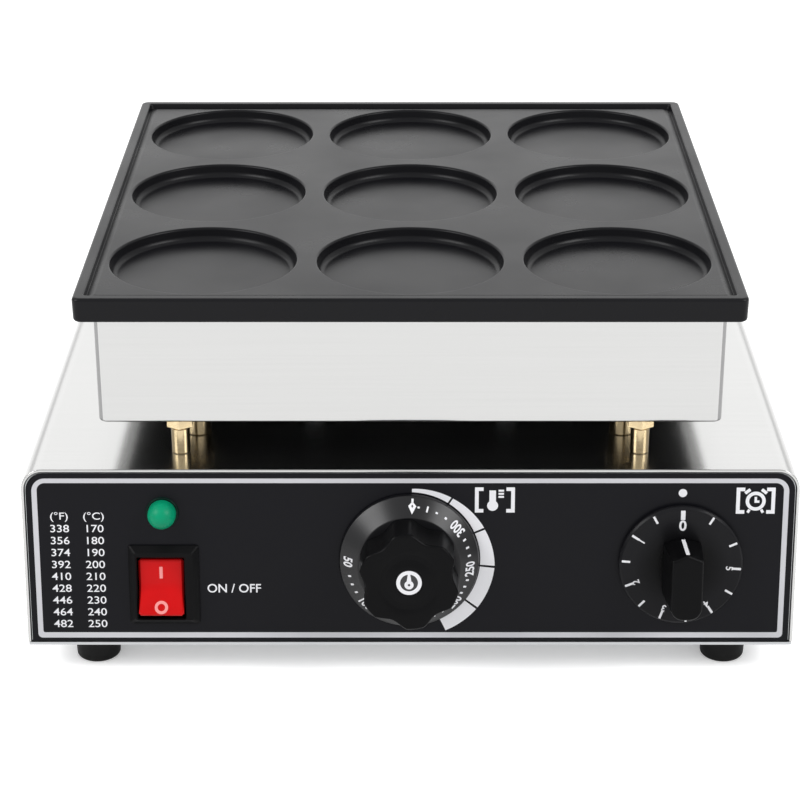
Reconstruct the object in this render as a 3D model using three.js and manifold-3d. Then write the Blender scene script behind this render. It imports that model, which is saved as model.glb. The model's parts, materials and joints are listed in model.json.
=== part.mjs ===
// Countertop mini pancake maker: a cast plate with nine round moulds on a heater box,
// which stands on brass standoffs over a base with a leaning control panel.
// Millimetres, +Z up, the front towards -Y.
import * as THREE from 'three';
import { mergeVertices } from 'three/addons/utils/BufferGeometryUtils.js';
import Module from 'manifold-3d';

const wasm = await Module();
wasm.setup();

// Baking plate
const MOULD_DIAMETER = 75;
const MOULD_SPACING = 8;
const MOULD_DEPTH = 5.5;
const MOULD_LIP = 0.6;
const MOULD_WALL_DRAFT = 0.5;
const MOULD_SLOPE_RUN = 2.2;
const MOULD_WALL_SHARE = 0.55;
const DECK_MARGIN = 2.3;
const GUTTER_WIDTH = 3.6;
const GUTTER_DEPTH = 2;
const RIM_WIDTH = 3.6;
const RIM_RISE = 1.5;
const PLATE_THICKNESS = 8.5;
const PLATE_CORNER = 2.5;
const RIM_CORNER = 1.5;
const LOCATING_LIP_WIDTH = 4;
const LOCATING_LIP_HEIGHT = 3;
const LOCATING_LIP_CLEARANCE = 0.8;

// Heater box and the stack above the base
const BOX_OVERHANG = 7;
const BOX_HEIGHT = 45.1;
const BOX_BEND = 2.5;
const STANDOFF_HEIGHT = 18.6;
const STANDOFF_INSET_X = 30.6;
const STANDOFF_INSET_Y = 14;

// Base
const BASE_HEIGHT = 74.5;
const BASE_SIDE_MARGIN = 25;
const BASE_TOP_SETBACK = 3.3;
const BASE_BEND = 8.5;
const PANEL_LEAN_DEGREES = 7.27;
const FOOT_HEIGHT = 14;

// Stock and clearances
const SHEET = 1.2;
const GAP = 0.3;
const OVERRUN = 2;

// Controls on the panel: the sizes that take up its height, and their places, which are distances
// across the face and shares of its free height up it
const BEZEL_Y = 33.6;
const LAMP_NUT_RADIUS = 8;
const TEMPERATURE_DIAL_RADIUS = 28.2;
const TIMER_DIAL_RADIUS = 24.9;
const SWITCH_FROM_EDGE = 56;
const LAMP_FROM_EDGE = 56;
const THERMOSTAT_FROM_MIDDLE = -0.5;
const TIMER_FROM_EDGE = 46.5;
const BELOW_SWITCH_SHARE = 0.4;
const BELOW_LAMP_SHARE = 0.234;
const BELOW_THERMOSTAT_SHARE = 0.476;
const BELOW_TIMER_SHARE = 0.423;

// Places that follow from the sizes above
const pitch = MOULD_DIAMETER + MOULD_SPACING;
const mouldRadius = MOULD_DIAMETER / 2;
const deckHalf = pitch + mouldRadius + DECK_MARGIN;
const rimInner = deckHalf + GUTTER_WIDTH;
const plateHalf = rimInner + RIM_WIDTH;
const boxHalf = plateHalf - BOX_OVERHANG;
const baseHalf = plateHalf + BASE_SIDE_MARGIN;

const lean = THREE.MathUtils.degToRad(PANEL_LEAN_DEGREES);
const baseTopFront = -(plateHalf - BASE_TOP_SETBACK);
const baseFront = baseTopFront - BASE_HEIGHT * Math.tan(lean);
const baseBack = -baseFront;
const faceLength = BASE_HEIGHT / Math.cos(lean);

const baseBottom = FOOT_HEIGHT;
const shellBottom = baseBottom + SHEET + GAP;
const baseTop = baseBottom + BASE_HEIGHT;
const boxBottom = baseTop + STANDOFF_HEIGHT;
const boxTop = boxBottom + BOX_HEIGHT;
const plateUnderside = boxTop + GAP;
const deckTop = plateUnderside + PLATE_THICKNESS;
const rimTop = deckTop + RIM_RISE;

const standoffX = boxHalf - STANDOFF_INSET_X;
const standoffY = boxHalf - STANDOFF_INSET_Y;
const switchX = -(baseHalf - SWITCH_FROM_EDGE);
const lampX = -(baseHalf - LAMP_FROM_EDGE);
const timerX = baseHalf - TIMER_FROM_EDGE;
const freeHeight = faceLength - SHEET - BEZEL_Y - 2 * LAMP_NUT_RADIUS;
const switchUp = BELOW_SWITCH_SHARE * freeHeight + BEZEL_Y / 2;
const lampUp = switchUp + BEZEL_Y / 2 + BELOW_LAMP_SHARE * freeHeight + LAMP_NUT_RADIUS;
const thermostatUp = upTheFace(TEMPERATURE_DIAL_RADIUS, BELOW_THERMOSTAT_SHARE);
const timerUp = upTheFace(TIMER_DIAL_RADIUS, BELOW_TIMER_SHARE);
const sides = [-1, 1];
const rows = [-1, 0, 1];

function upTheFace(dialRadius, shareBelow) {
  return dialRadius + shareBelow * (faceLength - 2 * dialRadius);
}

// Materials
function material(color, roughness, metalness) {
  return new THREE.MeshStandardMaterial({ color, roughness, metalness });
}

const brushedSteel = material(0xc4c2bd, 0.35, 1);
const zincSteel = material(0xaeb0b2, 0.45, 1);
const brass = material(0xc79b4b, 0.3, 1);
const nonStick = material(0x2b2b2e, 0.5, 0.2);
const blackFilm = material(0x1d1d22, 0.45, 0);
const blackPlastic = material(0x141416, 0.35, 0);
const redPlastic = material(0xc8120f, 0.3, 0);
const greenLens = material(0x0d6b3c, 0.15, 0);
const rubber = material(0x161616, 0.8, 0);
const ceramic = material(0xe6e0d2, 0.9, 0);
const elementSteel = material(0x6f6a63, 0.5, 1);
const copper = material(0xb4714a, 0.4, 1);
const paleMoulding = material(0xd8d4c8, 0.6, 0);
const badgeBlack = material(0x18181a, 0.3, 0);
const wireSleeve = material(0xb9b4a6, 0.8, 0);

// Joins and cuts
function solidOf(geometry) {
  const bare = geometry.clone();
  bare.deleteAttribute('normal');
  bare.deleteAttribute('uv');
  const merged = mergeVertices(bare, 1e-5);
  const vertProperties = merged.attributes.position.array;
  const triVerts = Uint32Array.from(merged.index.array);
  return new wasm.Manifold(new wasm.Mesh({ numProp: 3, vertProperties, triVerts }));
}

function geometryOf(solid) {
  const mesh = solid.getMesh();
  const geometry = new THREE.BufferGeometry();
  geometry.setAttribute('position', new THREE.BufferAttribute(Float32Array.from(mesh.vertProperties), 3));
  geometry.setIndex(new THREE.BufferAttribute(Uint32Array.from(mesh.triVerts), 1));
  return geometry;
}

function join(...geometries) {
  return geometryOf(geometries.map(solidOf).reduce((whole, part) => whole.add(part)));
}

function cut(geometry, ...tools) {
  return geometryOf(tools.map(solidOf).reduce((whole, tool) => whole.subtract(tool), solidOf(geometry)));
}

function common(first, second) {
  return geometryOf(solidOf(first).intersect(solidOf(second)));
}

// Shapes
function block(xLow, xHigh, yLow, yHigh, zLow, zHigh) {
  const box = new THREE.BoxGeometry(xHigh - xLow, yHigh - yLow, zHigh - zLow);
  return box.translate((xLow + xHigh) / 2, (yLow + yHigh) / 2, (zLow + zHigh) / 2);
}

// A solid of revolution about Z: the profile is a closed ring of [radius, height] points.
function turned(profile, segments) {
  const points = [...profile, profile[0]].map(([radius, height]) => new THREE.Vector2(radius, height));
  const open = profile.filter(([radius]) => radius === 0).length > 1;
  return new THREE.LatheGeometry(open ? points.slice(0, -1) : points, segments).rotateX(Math.PI / 2);
}

function cylinder(radius, low, high, segments) {
  return turned([[0, low], [radius, low], [radius, high], [0, high]], segments);
}

function ring(outer, inner, low, high, segments) {
  return turned([[inner, low], [outer, low], [outer, high], [inner, high]], segments);
}

function prism(outline, low, high) {
  const options = { depth: high - low, bevelEnabled: false, curveSegments: 4 };
  return new THREE.ExtrudeGeometry(outline, options).translate(0, 0, low);
}

// The same prism laid along Y, its outline drawn in X and Z.
function alongY(outline, front, back) {
  return prism(outline, -back, -front).rotateX(Math.PI / 2);
}

function roundedRectangle(xLow, xHigh, yLow, yHigh, lowRadius, highRadius) {
  const shape = new THREE.Shape();
  shape.moveTo(xLow + lowRadius, yLow);
  shape.lineTo(xHigh - lowRadius, yLow);
  if (lowRadius > 0) shape.absarc(xHigh - lowRadius, yLow + lowRadius, lowRadius, -Math.PI / 2, 0, false);
  shape.lineTo(xHigh, yHigh - highRadius);
  if (highRadius > 0) shape.absarc(xHigh - highRadius, yHigh - highRadius, highRadius, 0, Math.PI / 2, false);
  shape.lineTo(xLow + highRadius, yHigh);
  if (highRadius > 0) {
    shape.absarc(xLow + highRadius, yHigh - highRadius, highRadius, Math.PI / 2, Math.PI, false);
  }
  shape.lineTo(xLow, yLow + lowRadius);
  if (lowRadius > 0) {
    shape.absarc(xLow + lowRadius, yLow + lowRadius, lowRadius, Math.PI, 1.5 * Math.PI, false);
  }
  return shape;
}

function square(half, radius) {
  return roundedRectangle(-half, half, -half, half, radius, radius);
}

// The same solid with its upper face scaled about Z.
function drafted(geometry, shareX, shareY) {
  geometry.computeBoundingBox();
  const { min, max } = geometry.boundingBox;
  const position = geometry.attributes.position;
  for (let i = 0; i < position.count; i += 1) {
    if (position.getZ(i) < (min.z + max.z) / 2) continue;
    position.setX(i, position.getX(i) * shareX);
    position.setY(i, position.getY(i) * shareY);
  }
  return geometry;
}

// A round tube along a smooth curve through the points.
function wire(points, radius, steps, wireSides) {
  const section = new THREE.Shape();
  for (let i = 0; i < wireSides; i += 1) {
    const angle = 2 * Math.PI * i / wireSides;
    const corner = [radius * Math.cos(angle), radius * Math.sin(angle)];
    if (i === 0) section.moveTo(...corner);
    else section.lineTo(...corner);
  }
  section.closePath();
  const extrudePath = new THREE.CatmullRomCurve3(points, false, 'centripetal');
  return new THREE.ExtrudeGeometry(section, { steps, extrudePath, bevelEnabled: false });
}

const HARDWARE_SIDES = 10;
const hexCorner = 1 / Math.cos(Math.PI / 6);

// A hexagon nut whose hole clears the shank, standing on the given height.
function nut(acrossFlats, shankRadius, low, high) {
  return ring(acrossFlats / 2 * hexCorner, (shankRadius + GAP) * hexCorner, low, high, 6);
}

// A screw with its head's seat at height 0, the head up and the shank down.
function screw(headRadius, headHeight, shankRadius, length) {
  const profile = [
    [0, -length], [shankRadius, -length], [shankRadius, 0],
    [headRadius, 0], [headRadius, headHeight], [0, headHeight],
  ];
  return turned(profile, HARDWARE_SIDES);
}

// A faceted hole whose flats touch the circle of the given radius.
function hole(radius, x, y, low, high) {
  const corner = radius / Math.cos(Math.PI / HARDWARE_SIDES);
  return cylinder(corner, low - OVERRUN, high + OVERRUN, HARDWARE_SIDES).translate(x, y, 0);
}

// The machine, and the panel frame: X to the right, Y up the face, Z out of it
const machine = new THREE.Group();
const panel = new THREE.Group();
panel.position.set(0, baseFront, baseBottom);
panel.rotation.x = Math.PI / 2 - lean;
panel.updateMatrix();
machine.add(panel);

function piece(name, geometry, surface, parent = machine, x = 0, y = 0, z = 0) {
  const mesh = new THREE.Mesh(geometry, surface);
  mesh.name = name;
  mesh.position.set(x, y, z);
  parent.add(mesh);
  return mesh;
}

function onPanel(x, up, out) {
  return new THREE.Vector3(x, up, out).applyMatrix4(panel.matrix);
}

// One piece at each place, named after its end and side.
const sideNames = { '-1': 'left', 1: 'right' };
const endNames = { '-1': 'front', 1: 'rear' };
function pieceAtEach(label, places, make, surface) {
  for (const [x, y] of places) {
    const name = `${label}_${endNames[Math.sign(y)]}_${sideNames[Math.sign(x)]}`;
    piece(name, make(), surface, machine, x, y);
  }
}

// Places shared by the pieces that one fastener or lead passes through
const STANDOFF_STUD = 2.5;
const WIRE_TUBE_RADIUS = 3.9;
const WIRE_TUBE_BORE = 2.7;
const WIRE_TUBE_INSET = 5.5;
const WIRE_TUBE_SPACING = 19.2;
const BOLT_RADIUS = 2.5;
const FOOT_SCREW_RADIUS = 2;
const FOOT_INSET_X = 25.7;
const FOOT_INSET_Y = 18.4;
const wireTubeX = standoffX - WIRE_TUBE_INSET;
const wireTubeY = -standoffY + WIRE_TUBE_SPACING;
const standoffPlaces = sides.flatMap((x) => sides.map((y) => [x * standoffX, y * standoffY]));
const wireTubePlaces = sides.map((x) => [x * wireTubeX, wireTubeY]);
const boltPlaces = sides.flatMap((x) => sides.map((y) => [x * pitch / 2, y * pitch / 2]));
const footPlaces = sides.flatMap((y) => sides.map((x) => [
  x * (baseHalf - FOOT_INSET_X), y * (baseBack - FOOT_INSET_Y)]));

// Baking plate: rim, gutter, raised deck and nine moulds
function bakingPlate() {
  const MOULD_SEGMENTS = 36;
  const HOLE_DEPTH = 4.5;
  const body = prism(square(plateHalf, PLATE_CORNER), plateUnderside, rimTop);
  const well = prism(square(rimInner, RIM_CORNER), deckTop, rimTop + OVERRUN);
  const gutter = cut(
    prism(square(rimInner, RIM_CORNER), deckTop - GUTTER_DEPTH, rimTop + OVERRUN),
    prism(square(deckHalf, RIM_CORNER), deckTop - GUTTER_DEPTH - OVERRUN, rimTop + 2 * OVERRUN),
  );
  const wallFoot = mouldRadius - MOULD_LIP - MOULD_WALL_DRAFT;
  const profile = [
    [0, -MOULD_DEPTH],
    [wallFoot - MOULD_SLOPE_RUN, -MOULD_DEPTH],
    [wallFoot, -MOULD_DEPTH * MOULD_WALL_SHARE],
    [mouldRadius - MOULD_LIP, -MOULD_LIP],
    [mouldRadius, 0],
    [mouldRadius, OVERRUN],
    [0, OVERRUN],
  ];
  const moulds = rows.flatMap((row) => rows.map((column) =>
    turned(profile, MOULD_SEGMENTS).translate(column * pitch, row * pitch, deckTop)));
  const lipOuter = boxHalf - SHEET - LOCATING_LIP_CLEARANCE;
  const lip = cut(
    prism(square(lipOuter, RIM_CORNER), plateUnderside - LOCATING_LIP_HEIGHT, plateUnderside + OVERRUN),
    prism(square(lipOuter - LOCATING_LIP_WIDTH, RIM_CORNER), plateUnderside - LOCATING_LIP_HEIGHT - OVERRUN,
      plateUnderside + 2 * OVERRUN),
  );
  const boltHoles = boltPlaces.map(([x, y]) =>
    cylinder(BOLT_RADIUS + GAP, plateUnderside - OVERRUN, plateUnderside + HOLE_DEPTH, HARDWARE_SIDES)
      .translate(x, y, 0));
  return cut(join(body, lip), well, gutter, ...moulds, ...boltHoles);
}

// Heater box: an open tray of folded sheet
function heaterBox() {
  const outside = prism(square(boxHalf, BOX_BEND), boxBottom, boxTop);
  const inside = prism(square(boxHalf - SHEET, BOX_BEND - SHEET), boxBottom + SHEET, boxTop + OVERRUN);
  const holes = [
    ...standoffPlaces.map(([x, y]) => hole(STANDOFF_STUD + GAP, x, y, boxBottom, boxBottom + SHEET)),
    ...wireTubePlaces.map(([x, y]) => hole(WIRE_TUBE_RADIUS + GAP, x, y, boxBottom, boxBottom + SHEET)),
    ...boltPlaces.map(([x, y]) => hole(BOLT_RADIUS + GAP, x, y, boxBottom, boxBottom + SHEET)),
  ];
  return cut(outside, inside, ...holes);
}

piece('baking_plate', bakingPlate(), nonStick);
piece('heater_box', heaterBox(), brushedSteel);

// Heating under the plate
const CLAMP_INSET = 18;
const CLAMP_THICKNESS = 1.5;
const ELEMENT_RADIUS = 4;
const ELEMENT_EDGE = 12;
const ELEMENT_TAIL = 5;
const PIN_RADIUS = 1.6;
const PIN_LENGTH = 6;
const BOARD_THICKNESS = 12;
const clampHalf = boxHalf - CLAMP_INSET;
const runSpacing = 2 * (clampHalf - ELEMENT_EDGE) / 3;
const elementZ = plateUnderside - GAP - ELEMENT_RADIUS;
const clampTop = elementZ - ELEMENT_RADIUS - GAP;
const boardTop = clampTop - CLAMP_THICKNESS - GAP;
const boardBottom = boardTop - BOARD_THICKNESS;
const tailX = -(clampHalf + ELEMENT_TAIL);

// One hairpin of tubular element: out along X, round a half circle and back.
class Hairpin extends THREE.Curve {
  getPoint(t, target = new THREE.Vector3()) {
    const bend = runSpacing / 2;
    const bendX = clampHalf - ELEMENT_EDGE - bend;
    const straight = bendX - tailX;
    const total = 2 * straight + Math.PI * bend;
    const travelled = t * total;
    if (travelled < straight) return target.set(tailX + travelled, -bend, 0);
    if (travelled > total - straight) return target.set(tailX + total - travelled, bend, 0);
    const angle = (travelled - straight) / bend - Math.PI / 2;
    return target.set(bendX + bend * Math.cos(angle), bend * Math.sin(angle), 0);
  }
}

function heatingElement() {
  const ELEMENT_STEPS = 24;
  const section = new THREE.Shape().absarc(0, 0, ELEMENT_RADIUS, 0, 2 * Math.PI, false);
  const options = { steps: ELEMENT_STEPS, extrudePath: new Hairpin(), bevelEnabled: false, curveSegments: 4 };
  const rod = new THREE.ExtrudeGeometry(section, options);
  const pins = sides.map((y) => cylinder(PIN_RADIUS, -PIN_LENGTH, PIN_RADIUS, HARDWARE_SIDES)
    .rotateY(Math.PI / 2)
    .translate(tailX, y * runSpacing / 2, 0));
  return join(rod, ...pins);
}

function heldSheet(half, low, high) {
  const holes = boltPlaces.map(([x, y]) => hole(BOLT_RADIUS + GAP, x, y, low, high));
  return cut(block(-half, half, -half, half, low, high), ...holes);
}

const BOLT_DEPTH = 4;
const NUT_THICKNESS = 4;
const NUT_FLATS = 8;

// A hexagon-headed bolt up through the box floor, the board and the clamp into the plate.
function plateBolt() {
  const seat = boxBottom - GAP;
  return join(
    cylinder(BOLT_RADIUS, seat - NUT_THICKNESS / 2, plateUnderside + BOLT_DEPTH, HARDWARE_SIDES),
    cylinder(NUT_FLATS / 2 * hexCorner, seat - NUT_THICKNESS, seat, 6),
  );
}

piece('heating_element_front', heatingElement(), elementSteel, machine, 0, -runSpacing, elementZ);
piece('heating_element_rear', heatingElement(), elementSteel, machine, 0, runSpacing, elementZ);
piece('element_clamp_plate', heldSheet(clampHalf, clampTop - CLAMP_THICKNESS, clampTop), zincSteel);
piece('insulation_board', heldSheet(clampHalf, boardBottom, boardTop), ceramic);
pieceAtEach('plate_bolt', boltPlaces, plateBolt, zincSteel);

// Standoffs: a brass post between the sheets, held by a rim under the base top
// and by a nut run down on the box floor
const POST_RADIUS = 3.75;
const POST_HEX_FLATS = 10;
const POST_HEX_HEIGHT = 7.2;
const POST_RIM = 1.5;
const THREAD_SPARE = 1.5;
const threadTop = boxBottom + SHEET + GAP + NUT_THICKNESS + THREAD_SPARE;
const threadBottom = baseTop - SHEET - GAP - POST_RIM;

function post(threadRadius) {
  const foot = baseTop + GAP;
  const head = boxBottom - GAP;
  const wider = threadRadius - STANDOFF_STUD;
  const nutLow = boxBottom + SHEET + GAP;
  const nutRadius = (NUT_FLATS / 2 + wider) * hexCorner;
  return join(
    cylinder(threadRadius, threadBottom, threadTop, HARDWARE_SIDES),
    cylinder(POST_RADIUS + wider, threadBottom, threadBottom + POST_RIM, HARDWARE_SIDES),
    cylinder(POST_RADIUS + wider, foot, head - POST_HEX_HEIGHT / 2, 2 * HARDWARE_SIDES),
    cylinder((POST_HEX_FLATS / 2 + wider) * hexCorner, head - POST_HEX_HEIGHT, head, 6),
    cylinder(nutRadius, nutLow, nutLow + NUT_THICKNESS, 6),
  );
}

pieceAtEach('standoff', standoffPlaces, () => post(STANDOFF_STUD), brass);
for (const x of sides) {
  const bore = hole(WIRE_TUBE_BORE, 0, 0, threadBottom, threadTop);
  const tube = cut(post(WIRE_TUBE_RADIUS), bore);
  piece(`wire_tube_${sideNames[x]}`, tube, brass, machine, x * wireTubeX, wireTubeY);
}

// Base: shell, front and rear panels, bottom plate
const LIP_WIDTH = 12;
const FLANGE = 12;
const SCREW_RADIUS = 1.6;
const SCREW_FROM_END = 70;
const shellInner = baseHalf - SHEET;
const flangeTop = shellBottom + SHEET;
const bottomScrewPlaces = sides.flatMap((y) => sides.map((x) => [
  x * (shellInner - LIP_WIDTH / 2), y * (baseBack - SCREW_FROM_END)]));

function baseSection(inset, bottom) {
  return roundedRectangle(-baseHalf + inset, baseHalf - inset, bottom, baseTop - inset, 0, BASE_BEND - inset);
}

function baseShell() {
  const outside = alongY(baseSection(0, shellBottom), baseFront, baseBack);
  const inside = alongY(baseSection(SHEET, shellBottom - OVERRUN), baseFront - OVERRUN, baseBack + OVERRUN);
  const lipEnd = baseBack - SHEET - FLANGE - SHEET;
  const lips = sides.map((x) => block(
    Math.min(x * (shellInner - LIP_WIDTH), x * (shellInner + SHEET / 2)),
    Math.max(x * (shellInner - LIP_WIDTH), x * (shellInner + SHEET / 2)),
    -lipEnd, lipEnd, shellBottom, flangeTop));
  const beyond = baseHalf + OVERRUN;
  const front = block(-beyond, beyond, -faceLength, 2 * faceLength, 0, faceLength).applyMatrix4(panel.matrix);
  const holes = [
    ...standoffPlaces.map(([x, y]) => hole(STANDOFF_STUD + GAP, x, y, baseTop - SHEET, baseTop)),
    ...wireTubePlaces.map(([x, y]) => hole(WIRE_TUBE_RADIUS + GAP, x, y, baseTop - SHEET, baseTop)),
    ...bottomScrewPlaces.map(([x, y]) => hole(SCREW_RADIUS + GAP, x, y, shellBottom, flangeTop)),
  ];
  return cut(join(cut(outside, inside), ...lips), front, ...holes);
}

function bottomPlate() {
  const SLOT_COUNT = 8;
  const SLOT_WIDTH = 3;
  const SLOT_LENGTH = 50;
  const SLOT_PITCH = 12;
  const bottom = baseBottom;
  const top = baseBottom + SHEET;
  const slots = Array.from({ length: SLOT_COUNT }, (_, i) => {
    const x = (i - (SLOT_COUNT - 1) / 2) * SLOT_PITCH;
    return block(x - SLOT_WIDTH / 2, x + SLOT_WIDTH / 2, -SLOT_LENGTH / 2, SLOT_LENGTH / 2,
      bottom - OVERRUN, top + OVERRUN);
  });
  const holes = [
    ...bottomScrewPlaces.map(([x, y]) => hole(SCREW_RADIUS + GAP, x, y, bottom, top)),
    ...footPlaces.map(([x, y]) => hole(FOOT_SCREW_RADIUS + GAP, x, y, bottom, top)),
  ];
  const edge = baseHalf - GAP;
  return cut(block(-edge, edge, baseFront + GAP, baseBack - GAP, bottom, top), ...slots, ...holes);
}

// Cut-outs that the front panel and its printed film share
const SWITCH_BODY_X = 24;
const SWITCH_BODY_Y = 29.6;
const LAMP_BODY_RADIUS = 5.2;
const SHAFT_RADIUS = 3;
const BUSH_RADIUS = 4.4;
const BUSH_NUT_FLATS = 13;
const FILM = 0.5;
const FILM_HOLE_RADIUS = 9;
const controlPlaces = [[THERMOSTAT_FROM_MIDDLE, thermostatUp], [timerX, timerUp]];
const sheetFront = -FILM - GAP;
const sheetBack = sheetFront - SHEET;
const frontFlange = onPanel(0, 0, sheetBack + SHEET / 2).y;

function switchAndLampHoles(low, high) {
  const body = block(-SWITCH_BODY_X / 2 - GAP, SWITCH_BODY_X / 2 + GAP,
    -SWITCH_BODY_Y / 2 - GAP, SWITCH_BODY_Y / 2 + GAP, low - OVERRUN, high + OVERRUN);
  return [body.translate(switchX, switchUp, 0), hole(LAMP_BODY_RADIUS + GAP, lampX, lampUp, low, high)];
}

function faceOutline(thickness) {
  const half = shellInner - GAP;
  const low = (SHEET + 2 * GAP + thickness * Math.sin(lean)) / Math.cos(lean);
  const high = faceLength - (SHEET + GAP) / Math.cos(lean);
  return roundedRectangle(-half, half, low, high, 0, BASE_BEND - SHEET - GAP);
}

function frontPanel() {
  const sheet = prism(faceOutline(-sheetBack), sheetBack, sheetFront);
  const holes = [
    ...switchAndLampHoles(sheetBack, sheetFront),
    ...controlPlaces.map(([x, y]) => cylinder(BUSH_RADIUS + GAP, sheetBack - OVERRUN, sheetFront + OVERRUN,
      2 * HARDWARE_SIDES).translate(x, y, 0)),
  ];
  const flangeHalf = shellInner - LIP_WIDTH - SHEET;
  const flange = block(-flangeHalf, flangeHalf, frontFlange, frontFlange + FLANGE, shellBottom + GAP,
    flangeTop + GAP);
  return join(cut(sheet, ...holes).applyMatrix4(panel.matrix), flange);
}

function controlFilm() {
  const film = prism(faceOutline(FILM), -FILM, 0);
  const holes = [
    ...switchAndLampHoles(-FILM, 0),
    ...controlPlaces.map(([x, y]) => cylinder(FILM_HOLE_RADIUS, -FILM - OVERRUN, OVERRUN, 2 * HARDWARE_SIDES)
      .translate(x, y, 0)),
  ];
  return cut(film, ...holes);
}

const GLAND_FROM_EDGE = 52;
const GLAND_UP = 22;
const GLAND_THREAD_RADIUS = 7.5;
const glandX = -(baseHalf - GLAND_FROM_EDGE);
const glandZ = baseBottom + GLAND_UP;

function rearPanel() {
  const VENT_COUNT = 9;
  const VENT_WIDTH = 3.2;
  const VENT_HEIGHT = 26;
  const VENT_PITCH = 9;
  const VENT_DROP = 20;
  const outline = roundedRectangle(-shellInner + GAP, shellInner - GAP, shellBottom + GAP,
    baseTop - SHEET - GAP, 0, BASE_BEND - SHEET - GAP);
  const sheet = alongY(outline, baseBack - SHEET, baseBack);
  const flangeHalf = shellInner - LIP_WIDTH - SHEET;
  const flange = block(-flangeHalf, flangeHalf, baseBack - SHEET - FLANGE, baseBack - SHEET / 2,
    shellBottom + GAP, flangeTop + GAP);
  const ventTop = baseTop - VENT_DROP;
  const vents = Array.from({ length: VENT_COUNT }, (_, i) => {
    const x = (i - (VENT_COUNT - 1) / 2) * VENT_PITCH;
    return block(x - VENT_WIDTH / 2, x + VENT_WIDTH / 2, baseBack - SHEET - OVERRUN, baseBack + OVERRUN,
      ventTop - VENT_HEIGHT, ventTop);
  });
  const glandHole = cylinder(GLAND_THREAD_RADIUS + GAP, -OVERRUN, SHEET + OVERRUN, 2 * HARDWARE_SIDES)
    .rotateX(Math.PI / 2)
    .translate(glandX, baseBack, glandZ);
  return cut(join(sheet, flange), ...vents, glandHole);
}

piece('base_shell', baseShell(), brushedSteel);
piece('front_panel', frontPanel(), zincSteel);
piece('control_film', controlFilm(), blackFilm, panel);
piece('rear_panel', rearPanel(), brushedSteel);
piece('bottom_plate', bottomPlate(), zincSteel);

// Screws under the bottom plate, drawn head down
const SCREW_HEAD_RADIUS = 3.2;
const SCREW_HEAD_HEIGHT = 2;
const SCREW_LENGTH = 6;
pieceAtEach('bottom_screw', bottomScrewPlaces, () =>
  screw(SCREW_HEAD_RADIUS, SCREW_HEAD_HEIGHT, SCREW_RADIUS, SCREW_LENGTH)
    .rotateX(Math.PI)
    .translate(0, 0, baseBottom - GAP), zincSteel);

// Rubber feet with a sunk screw
const FOOT_TOP_RADIUS = 9.4;
const FOOT_BOTTOM_RADIUS = 8.8;
const FOOT_EDGE = 1;
const FOOT_SINK_RADIUS = 4.8;
const FOOT_SINK_DEPTH = 7;
const FOOT_SCREW_HEAD = 2.4;
const FOOT_SCREW_HEAD_RADIUS = 3.8;
const FOOT_SCREW_SPARE = 3;

function foot() {
  const top = FOOT_HEIGHT - GAP;
  const bore = FOOT_SCREW_RADIUS + GAP;
  const profile = [
    [FOOT_SINK_RADIUS, 0],
    [FOOT_BOTTOM_RADIUS - FOOT_EDGE, 0],
    [FOOT_BOTTOM_RADIUS, FOOT_EDGE],
    [FOOT_TOP_RADIUS, top],
    [bore, top],
    [bore, FOOT_SINK_DEPTH],
    [FOOT_SINK_RADIUS, FOOT_SINK_DEPTH],
  ];
  return turned(profile, 2 * HARDWARE_SIDES);
}

const footScrewLength = baseBottom + SHEET + FOOT_SCREW_SPARE - FOOT_SINK_DEPTH;
pieceAtEach('foot', footPlaces, foot, rubber);
pieceAtEach('foot_screw', footPlaces, () =>
  screw(FOOT_SCREW_HEAD_RADIUS, FOOT_SCREW_HEAD, FOOT_SCREW_RADIUS, footScrewLength)
    .rotateX(Math.PI)
    .translate(0, 0, FOOT_SINK_DEPTH - GAP), zincSteel);

// Rocker switch: a bezel and body in one moulding, with the rocker on its two pivot pins
const BEZEL_X = 28.3;
const BEZEL_HEIGHT = 3;
const BEZEL_CHAMFER = 2.2;
const SWITCH_DEPTH = 25;
const ROCKER_WIDTH = 18.2;
const ROCKER_RADIUS = 12.7;
const ROCKER_CENTRE_OUT = 1.4;
const ROCKER_TILT_DEGREES = 10;
const ROCKER_BACK = 5;
const ROCKER_SIDE_GAP = 0.4;
const ROCKER_END_GAP = 0.4;
const ROCKER_PIN_RADIUS = 1.5;
const ROCKER_PIN_LENGTH = 1.4;
const POCKET_DEPTH = 9;
const TERMINAL_WIDTH = 6.3;
const TERMINAL_THICKNESS = 0.8;
const TERMINAL_LENGTH = 8;
const TERMINAL_SPACING_X = 10;
const TERMINAL_SPACING_Y = 14;
const terminalPlaces = sides.flatMap((x) => sides.map((y) => [
  x * TERMINAL_SPACING_X / 2, y * TERMINAL_SPACING_Y / 2]));
const terminalEnd = -SWITCH_DEPTH - TERMINAL_LENGTH;
const rockerTilt = THREE.MathUtils.degToRad(ROCKER_TILT_DEGREES);

function pinAlongX(radius, halfLength) {
  return cylinder(radius, -halfLength, halfLength, HARDWARE_SIDES).rotateY(Math.PI / 2);
}

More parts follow.
